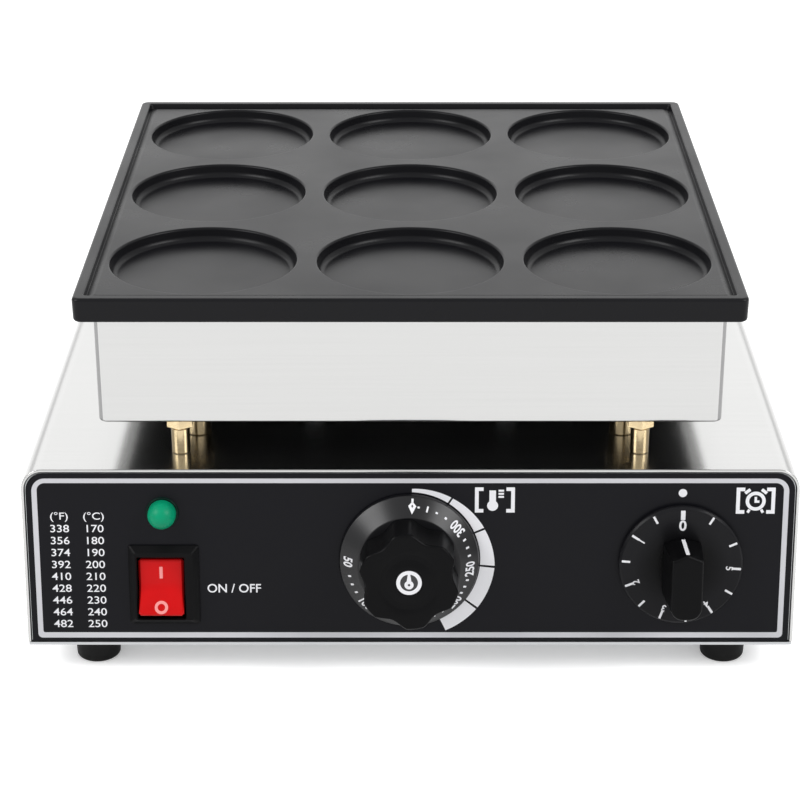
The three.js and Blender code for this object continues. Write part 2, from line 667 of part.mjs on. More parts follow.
function switchHousing() {
  const rest = GAP;
  const body = block(-SWITCH_BODY_X / 2, SWITCH_BODY_X / 2, -SWITCH_BODY_Y / 2, SWITCH_BODY_Y / 2,
    -SWITCH_DEPTH, rest + SHEET);
  const foot = block(-BEZEL_X / 2, BEZEL_X / 2, -BEZEL_Y / 2, BEZEL_Y / 2, rest, rest + BEZEL_HEIGHT);
  const bezel = drafted(foot, 1 - 2 * BEZEL_CHAMFER / BEZEL_X, 1 - 2 * BEZEL_CHAMFER / BEZEL_Y);
  const pocketX = ROCKER_WIDTH / 2 + ROCKER_SIDE_GAP;
  const pocketY = ROCKER_RADIUS + ROCKER_END_GAP;
  const pocket = block(-pocketX, pocketX, -pocketY, pocketY, -POCKET_DEPTH, rest + BEZEL_HEIGHT + OVERRUN);
  const pinHoles = pinAlongX(ROCKER_PIN_RADIUS + GAP, ROCKER_WIDTH / 2 + ROCKER_PIN_LENGTH + GAP);
  const blades = terminalPlaces.map(([x, y]) => block(-TERMINAL_THICKNESS / 2, TERMINAL_THICKNESS / 2,
    -TERMINAL_WIDTH / 2, TERMINAL_WIDTH / 2, terminalEnd, -SWITCH_DEPTH + OVERRUN).translate(x, y, 0));
  return cut(join(body, bezel, ...blades), pocket, pinHoles);
}

// The rocker's face is a shallow V of two flats, and its ends are arcs about the pivot. It rests
// with its upper end pressed in.
function rocker() {
  const reach = 2 * ROCKER_RADIUS;
  const rise = reach * Math.tan(rockerTilt);
  const section = new THREE.Shape();
  section.moveTo(-ROCKER_BACK, -reach);
  section.lineTo(-ROCKER_BACK, reach);
  section.lineTo(ROCKER_CENTRE_OUT + rise, reach);
  section.lineTo(ROCKER_CENTRE_OUT, 0);
  section.lineTo(ROCKER_CENTRE_OUT + rise, -reach);
  const wedge = prism(section, -ROCKER_WIDTH / 2, ROCKER_WIDTH / 2).rotateY(-Math.PI / 2);
  const drum = cylinder(ROCKER_RADIUS, -ROCKER_WIDTH / 2, ROCKER_WIDTH / 2, 48).rotateY(Math.PI / 2);
  const pins = pinAlongX(ROCKER_PIN_RADIUS, ROCKER_WIDTH / 2 + ROCKER_PIN_LENGTH);
  return join(common(wedge, drum), pins).rotateX(-rockerTilt);
}

piece('switch_housing', switchHousing(), blackPlastic, panel, switchX, switchUp);
piece('power_rocker', rocker(), redPlastic, panel, switchX, switchUp);

// Indicator lamp
const LENS_FLANGE_RADIUS = 6.7;
const LENS_FLANGE = 1;
const LENS_RADIUS = 5.5;
const LENS_HEIGHT = 6;
const LENS_STUB = 4;
const LENS_STUB_RADIUS = 3.4;
const LAMP_DEPTH = 20;
const LAMP_NUT_THICKNESS = 3;

function lampLens() {
  const DOME_STEPS = 4;
  const dome = Array.from({ length: DOME_STEPS }, (_, i) => {
    const angle = Math.PI / 2 * (i / DOME_STEPS);
    return [LENS_RADIUS * Math.cos(angle), GAP + LENS_FLANGE + LENS_HEIGHT * Math.sin(angle)];
  });
  const profile = [
    [0, -LENS_STUB],
    [LENS_STUB_RADIUS, -LENS_STUB],
    [LENS_STUB_RADIUS, GAP],
    [LENS_FLANGE_RADIUS, GAP],
    [LENS_FLANGE_RADIUS, GAP + LENS_FLANGE],
    ...dome,
    [0, GAP + LENS_FLANGE + LENS_HEIGHT],
  ];
  return turned(profile, 24);
}

function lampHousing() {
  const bore = LENS_STUB_RADIUS + GAP;
  const profile = [
    [0, -LAMP_DEPTH],
    [LAMP_BODY_RADIUS, -LAMP_DEPTH],
    [LAMP_BODY_RADIUS, 0],
    [bore, 0],
    [bore, -LENS_STUB - GAP],
    [0, -LENS_STUB - GAP],
  ];
  return turned(profile, 2 * HARDWARE_SIDES);
}

piece('lamp_lens', lampLens(), greenLens, panel, lampX, lampUp);
piece('lamp_housing', lampHousing(), blackPlastic, panel, lampX, lampUp);
piece('lamp_nut', ring(LAMP_NUT_RADIUS, LAMP_BODY_RADIUS + GAP, sheetBack - GAP - LAMP_NUT_THICKNESS,
  sheetBack - GAP, 2 * HARDWARE_SIDES), blackPlastic, panel, lampX, lampUp);

// Thermostat and timer behind the panel, their shafts through it
const THERMOSTAT_X = 44;
const THERMOSTAT_Y = 36;
const THERMOSTAT_DEPTH = 26;
const TIMER_X = 40;
const TIMER_Y = 44;
const TIMER_DEPTH = 24;
const CONTROL_CORNER = 4;
const SHAFT_SINK = 10;
const BUSH_NUT_THICKNESS = 1.8;
const controlFront = sheetBack - GAP;
const thermostatBack = controlFront - THERMOSTAT_DEPTH;
const timerBack = controlFront - TIMER_DEPTH;

function controlBody(x, y, depth) {
  const outline = roundedRectangle(-x / 2, x / 2, -y / 2, y / 2, CONTROL_CORNER, CONTROL_CORNER);
  const body = prism(outline, controlFront - depth, controlFront);
  const bush = cylinder(BUSH_RADIUS, controlFront - SHEET, sheetFront + GAP + BUSH_NUT_THICKNESS,
    2 * HARDWARE_SIDES);
  const shaftHole = cylinder(SHAFT_RADIUS + GAP, controlFront - SHAFT_SINK - GAP, OVERRUN,
    2 * HARDWARE_SIDES);
  return cut(join(body, bush), shaftHole);
}

function bushNut() {
  return nut(BUSH_NUT_FLATS, BUSH_RADIUS, sheetFront + GAP, sheetFront + GAP + BUSH_NUT_THICKNESS);
}

function shaft(out) {
  return cylinder(SHAFT_RADIUS, controlFront - SHAFT_SINK, out, 2 * HARDWARE_SIDES);
}

// Temperature knob: a conical dial, a fluted grip and a round badge
const DIAL_SEGMENTS = 42;
const DIAL_CLEARANCE = 0.8;
const DIAL_EDGE = 1.2;
const DIAL_RISE = 8;
const DIAL_TOP_RADIUS = 20.5;
const DIAL_RECESS_RADIUS = 19.5;
const DIAL_ROOF = 2;
const HUB_RADIUS = 8;
const GRIP_RADIUS = 20;
const GRIP_OUT = 26;
const GRIP_BEVEL = 1.2;
const FLUTE_COUNT = 6;
const FLUTE_DEPTH = 3.7;
const FLUTE_SPREAD_SHARE = 0.5;
const FLUTE_TURN_DEGREES = -37.4;
const BADGE_RADIUS = 5.2;
const BADGE_THICKNESS = 1;
const SHAFT_GRIP = 12;

function temperatureDial() {
  const profile = [
    [DIAL_RECESS_RADIUS, DIAL_CLEARANCE],
    [TEMPERATURE_DIAL_RADIUS, DIAL_CLEARANCE],
    [TEMPERATURE_DIAL_RADIUS, DIAL_CLEARANCE + DIAL_EDGE],
    [DIAL_TOP_RADIUS, DIAL_RISE],
    [HUB_RADIUS + GAP, DIAL_RISE],
    [HUB_RADIUS + GAP, DIAL_RISE - DIAL_ROOF],
    [DIAL_RECESS_RADIUS, DIAL_RISE - DIAL_ROOF],
  ];
  return turned(profile, DIAL_SEGMENTS);
}

// The grip's outline is a circle with a round hollow for each finger.
function flutedOutline(inset) {
  const POINTS_PER_FLUTE = 8;
  const count = FLUTE_COUNT * POINTS_PER_FLUTE;
  const turn = THREE.MathUtils.degToRad(90 - FLUTE_TURN_DEGREES);
  const points = Array.from({ length: count }, (_, i) => {
    const angle = 2 * Math.PI * i / count;
    const wave = Math.cos(FLUTE_COUNT * (angle - turn)) + FLUTE_SPREAD_SHARE;
    const hollow = Math.max(0, wave / (1 + FLUTE_SPREAD_SHARE));
    const radius = GRIP_RADIUS - inset - FLUTE_DEPTH * hollow;
    return new THREE.Vector2(radius * Math.cos(angle), radius * Math.sin(angle));
  });
  return new THREE.Shape(points);
}

function temperatureGrip() {
  const foot = DIAL_RISE + GAP;
  const barrel = prism(flutedOutline(0), foot, GRIP_OUT - GRIP_BEVEL);
  const face = prism(flutedOutline(GRIP_BEVEL / 2), GRIP_OUT - 2 * GRIP_BEVEL, GRIP_OUT);
  const hub = cylinder(HUB_RADIUS, DIAL_CLEARANCE + DIAL_EDGE, foot + DIAL_ROOF, 2 * HARDWARE_SIDES);
  const bore = cylinder(SHAFT_RADIUS + GAP, 0, foot + SHAFT_GRIP + GAP, 2 * HARDWARE_SIDES);
  const badgeSeat = cylinder(BADGE_RADIUS + GAP, GRIP_OUT - BADGE_THICKNESS, GRIP_OUT + OVERRUN, 24);
  return cut(join(barrel, face, hub), bore, badgeSeat);
}

piece('thermostat_body', controlBody(THERMOSTAT_X, THERMOSTAT_Y, THERMOSTAT_DEPTH), paleMoulding, panel,
  THERMOSTAT_FROM_MIDDLE, thermostatUp);
piece('thermostat_nut', bushNut(), zincSteel, panel, THERMOSTAT_FROM_MIDDLE, thermostatUp);
piece('thermostat_shaft', shaft(DIAL_RISE + GAP + SHAFT_GRIP), zincSteel, panel,
  THERMOSTAT_FROM_MIDDLE, thermostatUp);
piece('temperature_dial', temperatureDial(), blackPlastic, panel, THERMOSTAT_FROM_MIDDLE, thermostatUp);
piece('temperature_grip', temperatureGrip(), blackPlastic, panel, THERMOSTAT_FROM_MIDDLE, thermostatUp);
piece('temperature_badge', cylinder(BADGE_RADIUS, GRIP_OUT - BADGE_THICKNESS + GAP, GRIP_OUT, 24), badgeBlack,
  panel, THERMOSTAT_FROM_MIDDLE, thermostatUp);

// Timer knob: a flat dial and a bar grip with an arrow's nose
const TIMER_DIAL_TOP = 3.6;
const TIMER_DIAL_ROOF = 1.4;
const TIMER_DIAL_CHAMFER = 0.8;
const TIMER_RECESS_RADIUS = 18;
const BAR_WIDTH = 15;
const BAR_FACE_WIDTH = 12.4;
const BAR_OUT = 25;
const BAR_TAIL = 15;
const BAR_TAIL_CORNER = 5;
const BAR_NOSE = 12.4;
const BAR_POINT = 2.4;

function timerDial() {
  const profile = [
    [TIMER_RECESS_RADIUS, DIAL_CLEARANCE],
    [TIMER_DIAL_RADIUS, DIAL_CLEARANCE],
    [TIMER_DIAL_RADIUS, TIMER_DIAL_TOP - TIMER_DIAL_CHAMFER],
    [TIMER_DIAL_RADIUS - TIMER_DIAL_CHAMFER, TIMER_DIAL_TOP],
    [HUB_RADIUS + GAP, TIMER_DIAL_TOP],
    [HUB_RADIUS + GAP, TIMER_DIAL_TOP - TIMER_DIAL_ROOF],
    [TIMER_RECESS_RADIUS, TIMER_DIAL_TOP - TIMER_DIAL_ROOF],
  ];
  return turned(profile, DIAL_SEGMENTS);
}

// The bar in plan: a rounded tail and a blunt point at the nose.
function barOutline() {
  const half = BAR_WIDTH / 2;
  const turn = -BAR_TAIL + BAR_TAIL_CORNER;
  const straight = half - BAR_TAIL_CORNER;
  const shape = new THREE.Shape();
  shape.moveTo(-straight, -BAR_TAIL);
  shape.lineTo(straight, -BAR_TAIL);
  shape.absarc(straight, turn, BAR_TAIL_CORNER, -Math.PI / 2, 0, false);
  shape.lineTo(half, BAR_NOSE - BAR_POINT);
  shape.lineTo(0, BAR_NOSE);
  shape.lineTo(-half, BAR_NOSE - BAR_POINT);
  shape.absarc(-straight, turn, BAR_TAIL_CORNER, Math.PI, 1.5 * Math.PI, false);
  return shape;
}

function timerGrip() {
  const foot = TIMER_DIAL_TOP + GAP;
  const bar = drafted(prism(barOutline(), foot, BAR_OUT), BAR_FACE_WIDTH / BAR_WIDTH, 1);
  const hub = cylinder(HUB_RADIUS, TIMER_DIAL_TOP - TIMER_DIAL_ROOF, foot + TIMER_DIAL_ROOF,
    2 * HARDWARE_SIDES);
  const bore = cylinder(SHAFT_RADIUS + GAP, 0, foot + SHAFT_GRIP + GAP, 2 * HARDWARE_SIDES);
  return cut(join(bar, hub), bore);
}

piece('timer_body', controlBody(TIMER_X, TIMER_Y, TIMER_DEPTH), paleMoulding, panel, timerX, timerUp);
piece('timer_nut', bushNut(), zincSteel, panel, timerX, timerUp);
piece('timer_shaft', shaft(TIMER_DIAL_TOP + GAP + SHAFT_GRIP), zincSteel, panel, timerX, timerUp);
piece('timer_dial', timerDial(), blackPlastic, panel, timerX, timerUp);
piece('timer_grip', timerGrip(), blackPlastic, panel, timerX, timerUp);

// Snap-in inlet bush for the supply cable, the terminal block and the earth stud
const GLAND_BORE = 4;
const GLAND_HEAD_RADIUS = 10.5;
const GLAND_HEAD_LENGTH = 11;
const GLAND_NOSE_RADIUS = 7;
const GLAND_CATCH = 1;
const GLAND_CATCH_LENGTH = 5;

function cableGland() {
  const catchTop = -SHEET - GAP;
  const profile = [
    [GLAND_BORE, catchTop - GLAND_CATCH_LENGTH],
    [GLAND_THREAD_RADIUS, catchTop - GLAND_CATCH_LENGTH],
    [GLAND_THREAD_RADIUS + GLAND_CATCH, catchTop],
    [GLAND_THREAD_RADIUS, catchTop],
    [GLAND_THREAD_RADIUS, GAP],
    [GLAND_HEAD_RADIUS, GAP],
    [GLAND_HEAD_RADIUS, GLAND_HEAD_LENGTH / 2],
    [GLAND_NOSE_RADIUS, GLAND_HEAD_LENGTH],
    [GLAND_BORE, GLAND_HEAD_LENGTH],
  ];
  return turned(profile, 2 * HARDWARE_SIDES).rotateX(-Math.PI / 2);
}

const BLOCK_X = 38;
const BLOCK_Y = 18;
const BLOCK_HEIGHT = 14;
const BLOCK_FROM_BACK = 52;
const BLOCK_TERMINALS = 3;
const BLOCK_WELL_DEPTH = 8;
const blockX = glandX + BLOCK_X;
const blockY = baseBack - BLOCK_FROM_BACK;
const blockLow = baseBottom + SHEET + GAP;
const EARTH_STUD_RADIUS = 2;
const EARTH_STUD_HEIGHT = 14;
const EARTH_HEX_FLATS = 7;
const EARTH_HEX_HEIGHT = 3;

// A moulded block with a well over each clamping screw.
function terminalBlock() {
  const top = blockLow + BLOCK_HEIGHT;
  const body = block(-BLOCK_X / 2, BLOCK_X / 2, -BLOCK_Y / 2, BLOCK_Y / 2, blockLow, top);
  const wellPitch = BLOCK_X / BLOCK_TERMINALS;
  const wells = Array.from({ length: BLOCK_TERMINALS }, (_, i) =>
    cylinder(SCREW_HEAD_RADIUS, top - BLOCK_WELL_DEPTH, top + OVERRUN, HARDWARE_SIDES)
      .translate((i - (BLOCK_TERMINALS - 1) / 2) * wellPitch, 0, 0));
  return cut(body, ...wells);
}

piece('cable_gland', cableGland(), blackPlastic, machine, glandX, baseBack, glandZ);
piece('terminal_block', terminalBlock(), paleMoulding, machine, blockX, blockY);
piece('earth_stud', join(
  cylinder(EARTH_STUD_RADIUS, blockLow, blockLow + EARTH_STUD_HEIGHT, HARDWARE_SIDES),
  cylinder(EARTH_HEX_FLATS / 2 * hexCorner, blockLow, blockLow + EARTH_HEX_HEIGHT, 6),
), brass, machine, glandX, blockY);

// Leads and the sensor, along their real routes
const LEAD_RADIUS = 1;
const LEAD_STRAIGHT = 6;
const LEAD_SIDES = 5;
const TUBE_LEAD_OFFSET = 1.2;
const LEAD_BOW = 14;
const leadTop = elementZ - PIN_RADIUS - GAP;
const pinX = tailX - PIN_LENGTH / 2;
const point = (x, y, z) => new THREE.Vector3(x, y, z);

function betweenPoints(first, second, share) {
  return first.clone().lerp(second, share);
}

// Straight down the bore of a wire tube, with a straight run past both ends.
function downTube(x, offset) {
  const above = [threadTop + LEAD_STRAIGHT, threadTop + GAP];
  const below = [threadBottom - GAP, threadBottom - LEAD_STRAIGHT];
  return [...above, ...below].map((z) => point(x + offset, wireTubeY, z));
}

// Straight out of the back of a control at the given place on the panel.
function behindControl(x, up, back) {
  return [onPanel(x, up, back - GAP - 2 * LEAD_STRAIGHT), onPanel(x, up, back - GAP)];
}

function heaterLead(run, offset, end) {
  const tube = downTube(-wireTubeX, offset);
  const start = point(pinX, run, leadTop);
  const below = point(pinX, run, boardBottom);
  const aside = betweenPoints(below, tube[0], 1 / 2);
  aside.z = tube[0].z + GAP;
  const across = betweenPoints(tube[3], end[0], 1 / 2);
  across.y += LEAD_BOW;
  const points = [start, betweenPoints(start, below, 1 / 2), below, aside, ...tube, across, ...end];
  return wire(points, LEAD_RADIUS, 34, LEAD_SIDES);
}

const leadRow = TERMINAL_SPACING_X;
const thermostatLive = behindControl(THERMOSTAT_FROM_MIDDLE - leadRow, thermostatUp, thermostatBack);
const timerLive = behindControl(timerX, timerUp + leadRow, timerBack);
piece('heater_lead_front', heaterLead(-runSpacing / 2, -TUBE_LEAD_OFFSET, thermostatLive), wireSleeve);
piece('heater_lead_rear', heaterLead(runSpacing / 2, TUBE_LEAD_OFFSET, timerLive), wireSleeve);

function elementLink() {
  const linkX = (pinX - (boxHalf - SHEET)) / 2;
  const linkZ = leadTop - 2 * LEAD_STRAIGHT;
  const reach = 3 * runSpacing / 2;
  const half = [
    point(pinX, reach, leadTop),
    point(pinX, reach, leadTop - LEAD_STRAIGHT),
    point(linkX, reach - LEAD_STRAIGHT, linkZ),
    point(linkX, reach / 2, linkZ),
  ];
  const other = half.map(({ x, y, z }) => point(x, -y, z)).reverse();
  return wire([...half, ...other], LEAD_RADIUS, 22, LEAD_SIDES);
}

piece('element_link', elementLink(), wireSleeve);

const SENSOR_RADIUS = ELEMENT_RADIUS;
const SENSOR_LENGTH = 70;
const CAPILLARY_RADIUS = 0.8;

function sensor() {
  const bulb = cylinder(SENSOR_RADIUS, -SENSOR_LENGTH / 2, SENSOR_LENGTH / 2, 12)
    .rotateY(Math.PI / 2)
    .translate(0, 0, elementZ);
  const tube = downTube(wireTubeX, 0);
  const end = behindControl(THERMOSTAT_FROM_MIDDLE + leadRow, thermostatUp, thermostatBack);
  const start = point(SENSOR_LENGTH / 2 - CAPILLARY_RADIUS, 0, elementZ);
  const edge = point(clampHalf, 0, elementZ);
  const fall = point(clampHalf + LEAD_STRAIGHT, 0, clampTop);
  const below = point(clampHalf + LEAD_STRAIGHT, 0, boardBottom);
  const aside = betweenPoints(below, tube[0], 1 / 2);
  const across = betweenPoints(tube[3], end[0], 1 / 2);
  const along = betweenPoints(start, edge, 1 / 2);
  const points = [start, along, edge, fall, below, aside, ...tube, across, ...end];
  return join(bulb, wire(points, CAPILLARY_RADIUS, 40, LEAD_SIDES));
}

piece('thermostat_sensor', sensor(), copper);

// From the terminal block to the lower switch terminals
function supplyLead(side) {
  const front = blockY - BLOCK_Y / 2 - GAP;
  const z = blockLow + BLOCK_HEIGHT / 2;
  const start = point(blockX + side * TERMINAL_SPACING_X / 2, front, z);
  const out = point(start.x, front - 2 * LEAD_STRAIGHT, z);
  const end = behindControl(switchX + side * TERMINAL_SPACING_X / 2, switchUp - TERMINAL_SPACING_Y / 2,
    terminalEnd);
  return wire([start, out, betweenPoints(out, end[0], 1 / 2), ...end], LEAD_RADIUS, 18, LEAD_SIDES);
}

for (const side of sides) piece(`supply_lead_${sideNames[side]}`, supplyLead(side), wireSleeve);

// From an upper switch terminal to the timer
function timerLead() {
  const start = behindControl(switchX + TERMINAL_SPACING_X / 2, switchUp + TERMINAL_SPACING_Y / 2,
    terminalEnd);
  const end = behindControl(timerX - leadRow, timerUp - leadRow, timerBack);
  const low = (first, second, share) => {
    const between = betweenPoints(first, second, share);
    between.y = frontFlange + BASE_HEIGHT;
    between.z = baseBottom + timerUp / 2;
    return between;
  };
  const points = [start[1], start[0], low(start[0], end[0], 1 / 4), low(start[0], end[0], 3 / 4), ...end];
  return wire(points, LEAD_RADIUS, 24, LEAD_SIDES);
}

piece('timer_lead', timerLead(), wireSleeve);

// The origin is under the middle of the whole machine, on the surface it stands on.
machine.updateMatrixWorld(true);
const bounds = new THREE.Box3().setFromObject(machine, true);
const middle = bounds.getCenter(new THREE.Vector3());
machine.position.set(-middle.x, -middle.y, -bounds.min.z);

export default machine;
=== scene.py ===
import json
import math

import bmesh
import bpy
from mathutils import Matrix, Vector
from mathutils.geometry import delaunay_2d_cdt


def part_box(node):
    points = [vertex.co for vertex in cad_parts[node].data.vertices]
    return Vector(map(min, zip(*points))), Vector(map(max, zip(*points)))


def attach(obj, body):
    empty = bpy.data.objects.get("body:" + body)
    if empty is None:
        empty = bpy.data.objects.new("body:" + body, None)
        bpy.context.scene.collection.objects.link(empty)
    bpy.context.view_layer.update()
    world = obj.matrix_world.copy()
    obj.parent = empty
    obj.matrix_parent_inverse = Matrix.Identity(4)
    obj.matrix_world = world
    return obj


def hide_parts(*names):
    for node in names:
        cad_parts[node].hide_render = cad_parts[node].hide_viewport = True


# Looks for the mini pancake maker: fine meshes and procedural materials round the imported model
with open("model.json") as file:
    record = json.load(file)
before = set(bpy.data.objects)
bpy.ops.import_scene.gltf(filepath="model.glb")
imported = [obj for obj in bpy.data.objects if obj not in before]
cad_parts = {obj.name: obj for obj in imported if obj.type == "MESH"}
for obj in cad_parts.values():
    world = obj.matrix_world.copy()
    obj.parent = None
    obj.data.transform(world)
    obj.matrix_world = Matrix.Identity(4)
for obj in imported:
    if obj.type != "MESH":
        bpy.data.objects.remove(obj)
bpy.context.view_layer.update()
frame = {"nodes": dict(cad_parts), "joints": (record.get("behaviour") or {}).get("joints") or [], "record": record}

# Sizes are in millimetres, and metres are made of them when a mesh is built. Vertices closer than
# WELD, in metres, are joined.
MM = 0.001
WELD = 1e-6
JOINTS = {joint["name"]: joint for joint in frame["joints"]}
BODY = "machine"

# Sizes that more than one piece shares. Heights of the knobs are taken from the film.
DECK_BELOW_RIM = 1.5
KNOB_FACE = 26.0
KNOB_ROUND = 112
TIMER_SKIRT_TOP = 3.6
TIMER_NOSE = 12.4
PRINT = 0.06


def box(node):
    """Lowest and highest corner of a CAD node in millimetres."""
    low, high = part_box(node)
    return low / MM, high / MM


def middle(node):
    low, high = box(node)
    return (low + high) / 2


# Outlines
def rounded_path(corners, steps=5, closed=True):
    """The polyline through (x, y, radius) corners, each rounded by an arc of its radius."""
    path = []
    count = len(corners)
    for i, (x, y, radius) in enumerate(corners):
        corner = Vector((x, y))
        if radius <= 0 or (not closed and i in (0, count - 1)):
            path.append(corner)
            continue
        before = Vector(corners[i - 1][:2]) - corner
        after = Vector(corners[(i + 1) % count][:2]) - corner
        before.normalize()
        after.normalize()
        half = before.angle(after) / 2
        centre = corner + (before + after).normalized() * radius / math.sin(half)
        start = corner + before * radius / math.tan(half) - centre
        turn = (math.pi - 2 * half) * (1 if before.cross(after) < 0 else -1)
        for step in range(steps + 1):
            angle = turn * step / steps
            cosine, sine = math.cos(angle), math.sin(angle)
            offset = Vector((start.x * cosine - start.y * sine, start.x * sine + start.y * cosine))
            path.append(centre + offset)
    return path


def rounded_rectangle(x_low, x_high, y_low, y_high, low_radius, high_radius, steps=6):
    corners = [
        (x_high, y_low, low_radius),
        (x_high, y_high, high_radius),
        (x_low, y_high, high_radius),
        (x_low, y_low, low_radius),
    ]
    return rounded_path(corners, steps)


def circle(radius, count, x=0.0, y=0.0):
    turns = (2 * math.pi * i / count for i in range(count))
    return [Vector((x + radius * math.cos(a), y + radius * math.sin(a))) for a in turns]


def at_height(outline, height):
    return [Vector((point[0], point[1], height)) for point in outline]


def shrunk(outline, distance):
    """The outline moved inwards along its own normals, for a small bevel."""
    count = len(outline)
    moved = []
    for i, point in enumerate(outline):
        before = (Vector(point) - Vector(outline[i - 1])).normalized()
        after = (Vector(outline[(i + 1) % count]) - Vector(point)).normalized()
        normal = Vector((-(before.y + after.y), before.x + after.x))
        if normal.length < 1e-9:
            normal = Vector((-before.y, before.x))
        normal.normalize()
        spread = max(0.5, normal.dot(Vector((-before.y, before.x))))
        moved.append(Vector(point) + normal * distance / spread)
    return moved


def inside(point, outline):
    crossings = 0
    for i, end in enumerate(outline):
        start = outline[i - 1]
        if (start[1] > point[1]) == (end[1] > point[1]):
            continue
        along = (point[1] - start[1]) / (end[1] - start[1])
        if point[0] < start[0] + along * (end[0] - start[0]):
            crossings += 1
    return crossings % 2 == 1


def triangles_between(outline, holes):
    """Triangles of the flat region inside the outline and outside the holes."""
    points, edges = [], []
    for loop in [outline, *holes]:
        first = len(points)
        points.extend(Vector((point[0], point[1])) for point in loop)
        edges.extend((first + i, first + (i + 1) % len(loop)) for i in range(len(loop)))
    found, _, faces, *_ = delaunay_2d_cdt(points, edges, [], 1, 1e-6)
    kept = []
    for face in faces:
        centre = sum((found[i] for i in face), Vector((0, 0))) / len(face)
        if inside(centre, outline) and not any(inside(centre, hole) for hole in holes):
            kept.append(face)
    return found, kept


# Meshes
class Solid:
    """Collects vertices and faces in millimetres, then makes one mesh of them."""

    def __init__(self):
        self.vertices = []
        self.faces = []

    def add(self, points):
        first = len(self.vertices)
        self.vertices.extend(Vector(point) for point in points)
        return list(range(first, first + len(points)))

    def bridge(self, first, second, closed=True):
        """Quads from one ring to the next, or a fan where a ring is a single point."""
        count = max(len(first), len(second))
        last = count if closed else count - 1
        for i in range(last):
            j = (i + 1) % count
            corners = [first[i % len(first)], first[j % len(first)]]
            corners += [second[j % len(second)], second[i % len(second)]]
            corners = list(dict.fromkeys(corners))
            if len(corners) > 2:
                self.faces.append(corners)

    def skin(self, rings, closed=True, around=False):
        indexed = [self.add(ring) for ring in rings]
        for first, second in zip(indexed, indexed[1:]):
            self.bridge(first, second, closed)
        if around:
            self.bridge(indexed[-1], indexed[0], closed)
        return indexed

    def cap(self, ring, upwards):
        self.faces.append(list(ring) if upwards else list(reversed(ring)))

    def flat(self, outline, holes, height, upwards=True):
        points, faces = triangles_between(outline, holes)
        indexed = self.add(at_height(points, height))
        for face in faces:
            a, b, c = (points[i] for i in face[:3])
            counterclockwise = (b - a).cross(c - a) > 0
            corners = [indexed[i] for i in face]
            self.faces.append(corners if counterclockwise == upwards else corners[::-1])

    def turned(self, profile, count, turn=0.0):
        """Turns an open profile of (radius, height) points about Z, from the top of the axis down."""
        angles = [turn + 2 * math.pi * i / count for i in range(count)]
        rings = []
        for radius, height in profile:
            if radius < 1e-6:
                rings.append([Vector((0, 0, height))])
                continue
            rings.append([Vector((radius * math.cos(a), radius * math.sin(a), height)) for a in angles])
        self.skin(rings)

    def prism(self, outline, low, high, place=Matrix.Identity(4)):
        """A plate with a counterclockwise outline."""
        rings = [at_height(outline, low), at_height(outline, high)]
        indexed = self.skin([[place @ point for point in ring] for ring in rings])
        self.cap(indexed[-1], True)
        self.cap(indexed[0], False)

    def mesh(self, name, place):
        data = bpy.data.meshes.new(name)
        data.from_pydata([tuple((place @ vertex) * MM) for vertex in self.vertices], [], self.faces)
        data.update()
        return data


def merged(mesh):
    """Joins vertices that lie together and turns all faces outwards."""
    work = bmesh.new()
    work.from_mesh(mesh)
    bmesh.ops.remove_doubles(work, verts=work.verts, dist=WELD)
    bmesh.ops.recalc_face_normals(work, faces=work.faces)
    work.to_mesh(mesh)
    work.free()
    return mesh


def piece(name, solid, material, place=Matrix.Identity(4), body=BODY, replaces=(), sharp=40):
    """One shown piece, riding on its body and standing for the CAD nodes that it replaces."""
    mesh = merged(solid.mesh(name, place))
    mesh.materials.append(material)
    mesh.shade_smooth()
    mesh.set_sharp_from_angle(angle=math.radians(sharp))
    shown = bpy.data.objects.new(name, mesh)
    bpy.context.scene.collection.objects.link(shown)
    normals = shown.modifiers.new("normals", "WEIGHTED_NORMAL")
    normals.keep_sharp = True
    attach(shown, body)
    if replaces:
        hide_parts(*replaces)
    return shown


# Materials
def new_material(name, color, roughness, metallic=0.0):
    """A Principled material with constants on its own sockets."""
    material = bpy.data.materials.new(name)
    material.use_nodes = True
    shader = material.node_tree.nodes["Principled BSDF"]
    shader.inputs["Base Color"].default_value = (*color, 1)
    shader.inputs["Roughness"].default_value = roughness
    shader.inputs["Metallic"].default_value = metallic
    return material


def stretched_noise(material, scales, detail=4.0, roughness=0.6):
    """Noise in the object's own space, with a scale in 1/m along each axis."""
    nodes, links = material.node_tree.nodes, material.node_tree.links
    place = nodes.new("ShaderNodeTexCoord")
    mapping = nodes.new("ShaderNodeMapping")
    mapping.inputs["Scale"].default_value = scales
    noise = nodes.new("ShaderNodeTexNoise")
    noise.inputs["Scale"].default_value = 1.0
    noise.inputs["Detail"].default_value = detail
    noise.inputs["Roughness"].default_value = roughness
    links.new(place.outputs["Object"], mapping.inputs["Vector"])
    links.new(mapping.outputs["Vector"], noise.inputs["Vector"])
    return noise.outputs["Fac"]


def between(material, factor, low, high, start=0.3, end=0.7):
    """A value that runs from low to high as the factor runs from start to end."""
    nodes, links = material.node_tree.nodes, material.node_tree.links
    mapped = nodes.new("ShaderNodeMapRange")
    mapped.inputs["From Min"].default_value = start
    mapped.inputs["From Max"].default_value = end
    mapped.inputs["To Min"].default_value = low
    mapped.inputs["To Max"].default_value = high
    links.new(factor, mapped.inputs["Value"])
    return mapped.outputs["Result"]


def mixed(material, factor, first, second):
    nodes, links = material.node_tree.nodes, material.node_tree.links
    mix = nodes.new("ShaderNodeMix")
    mix.data_type = "RGBA"
    mix.inputs["A"].default_value = (*first, 1)
    mix.inputs["B"].default_value = (*second, 1)
    links.new(factor, mix.inputs["Factor"])
    return mix.outputs["Result"]


def feed(material, socket, output):
    """Drives a socket of the material's shader by a node's output."""
    shader = material.node_tree.nodes["Principled BSDF"]
    material.node_tree.links.new(output, shader.inputs[socket])


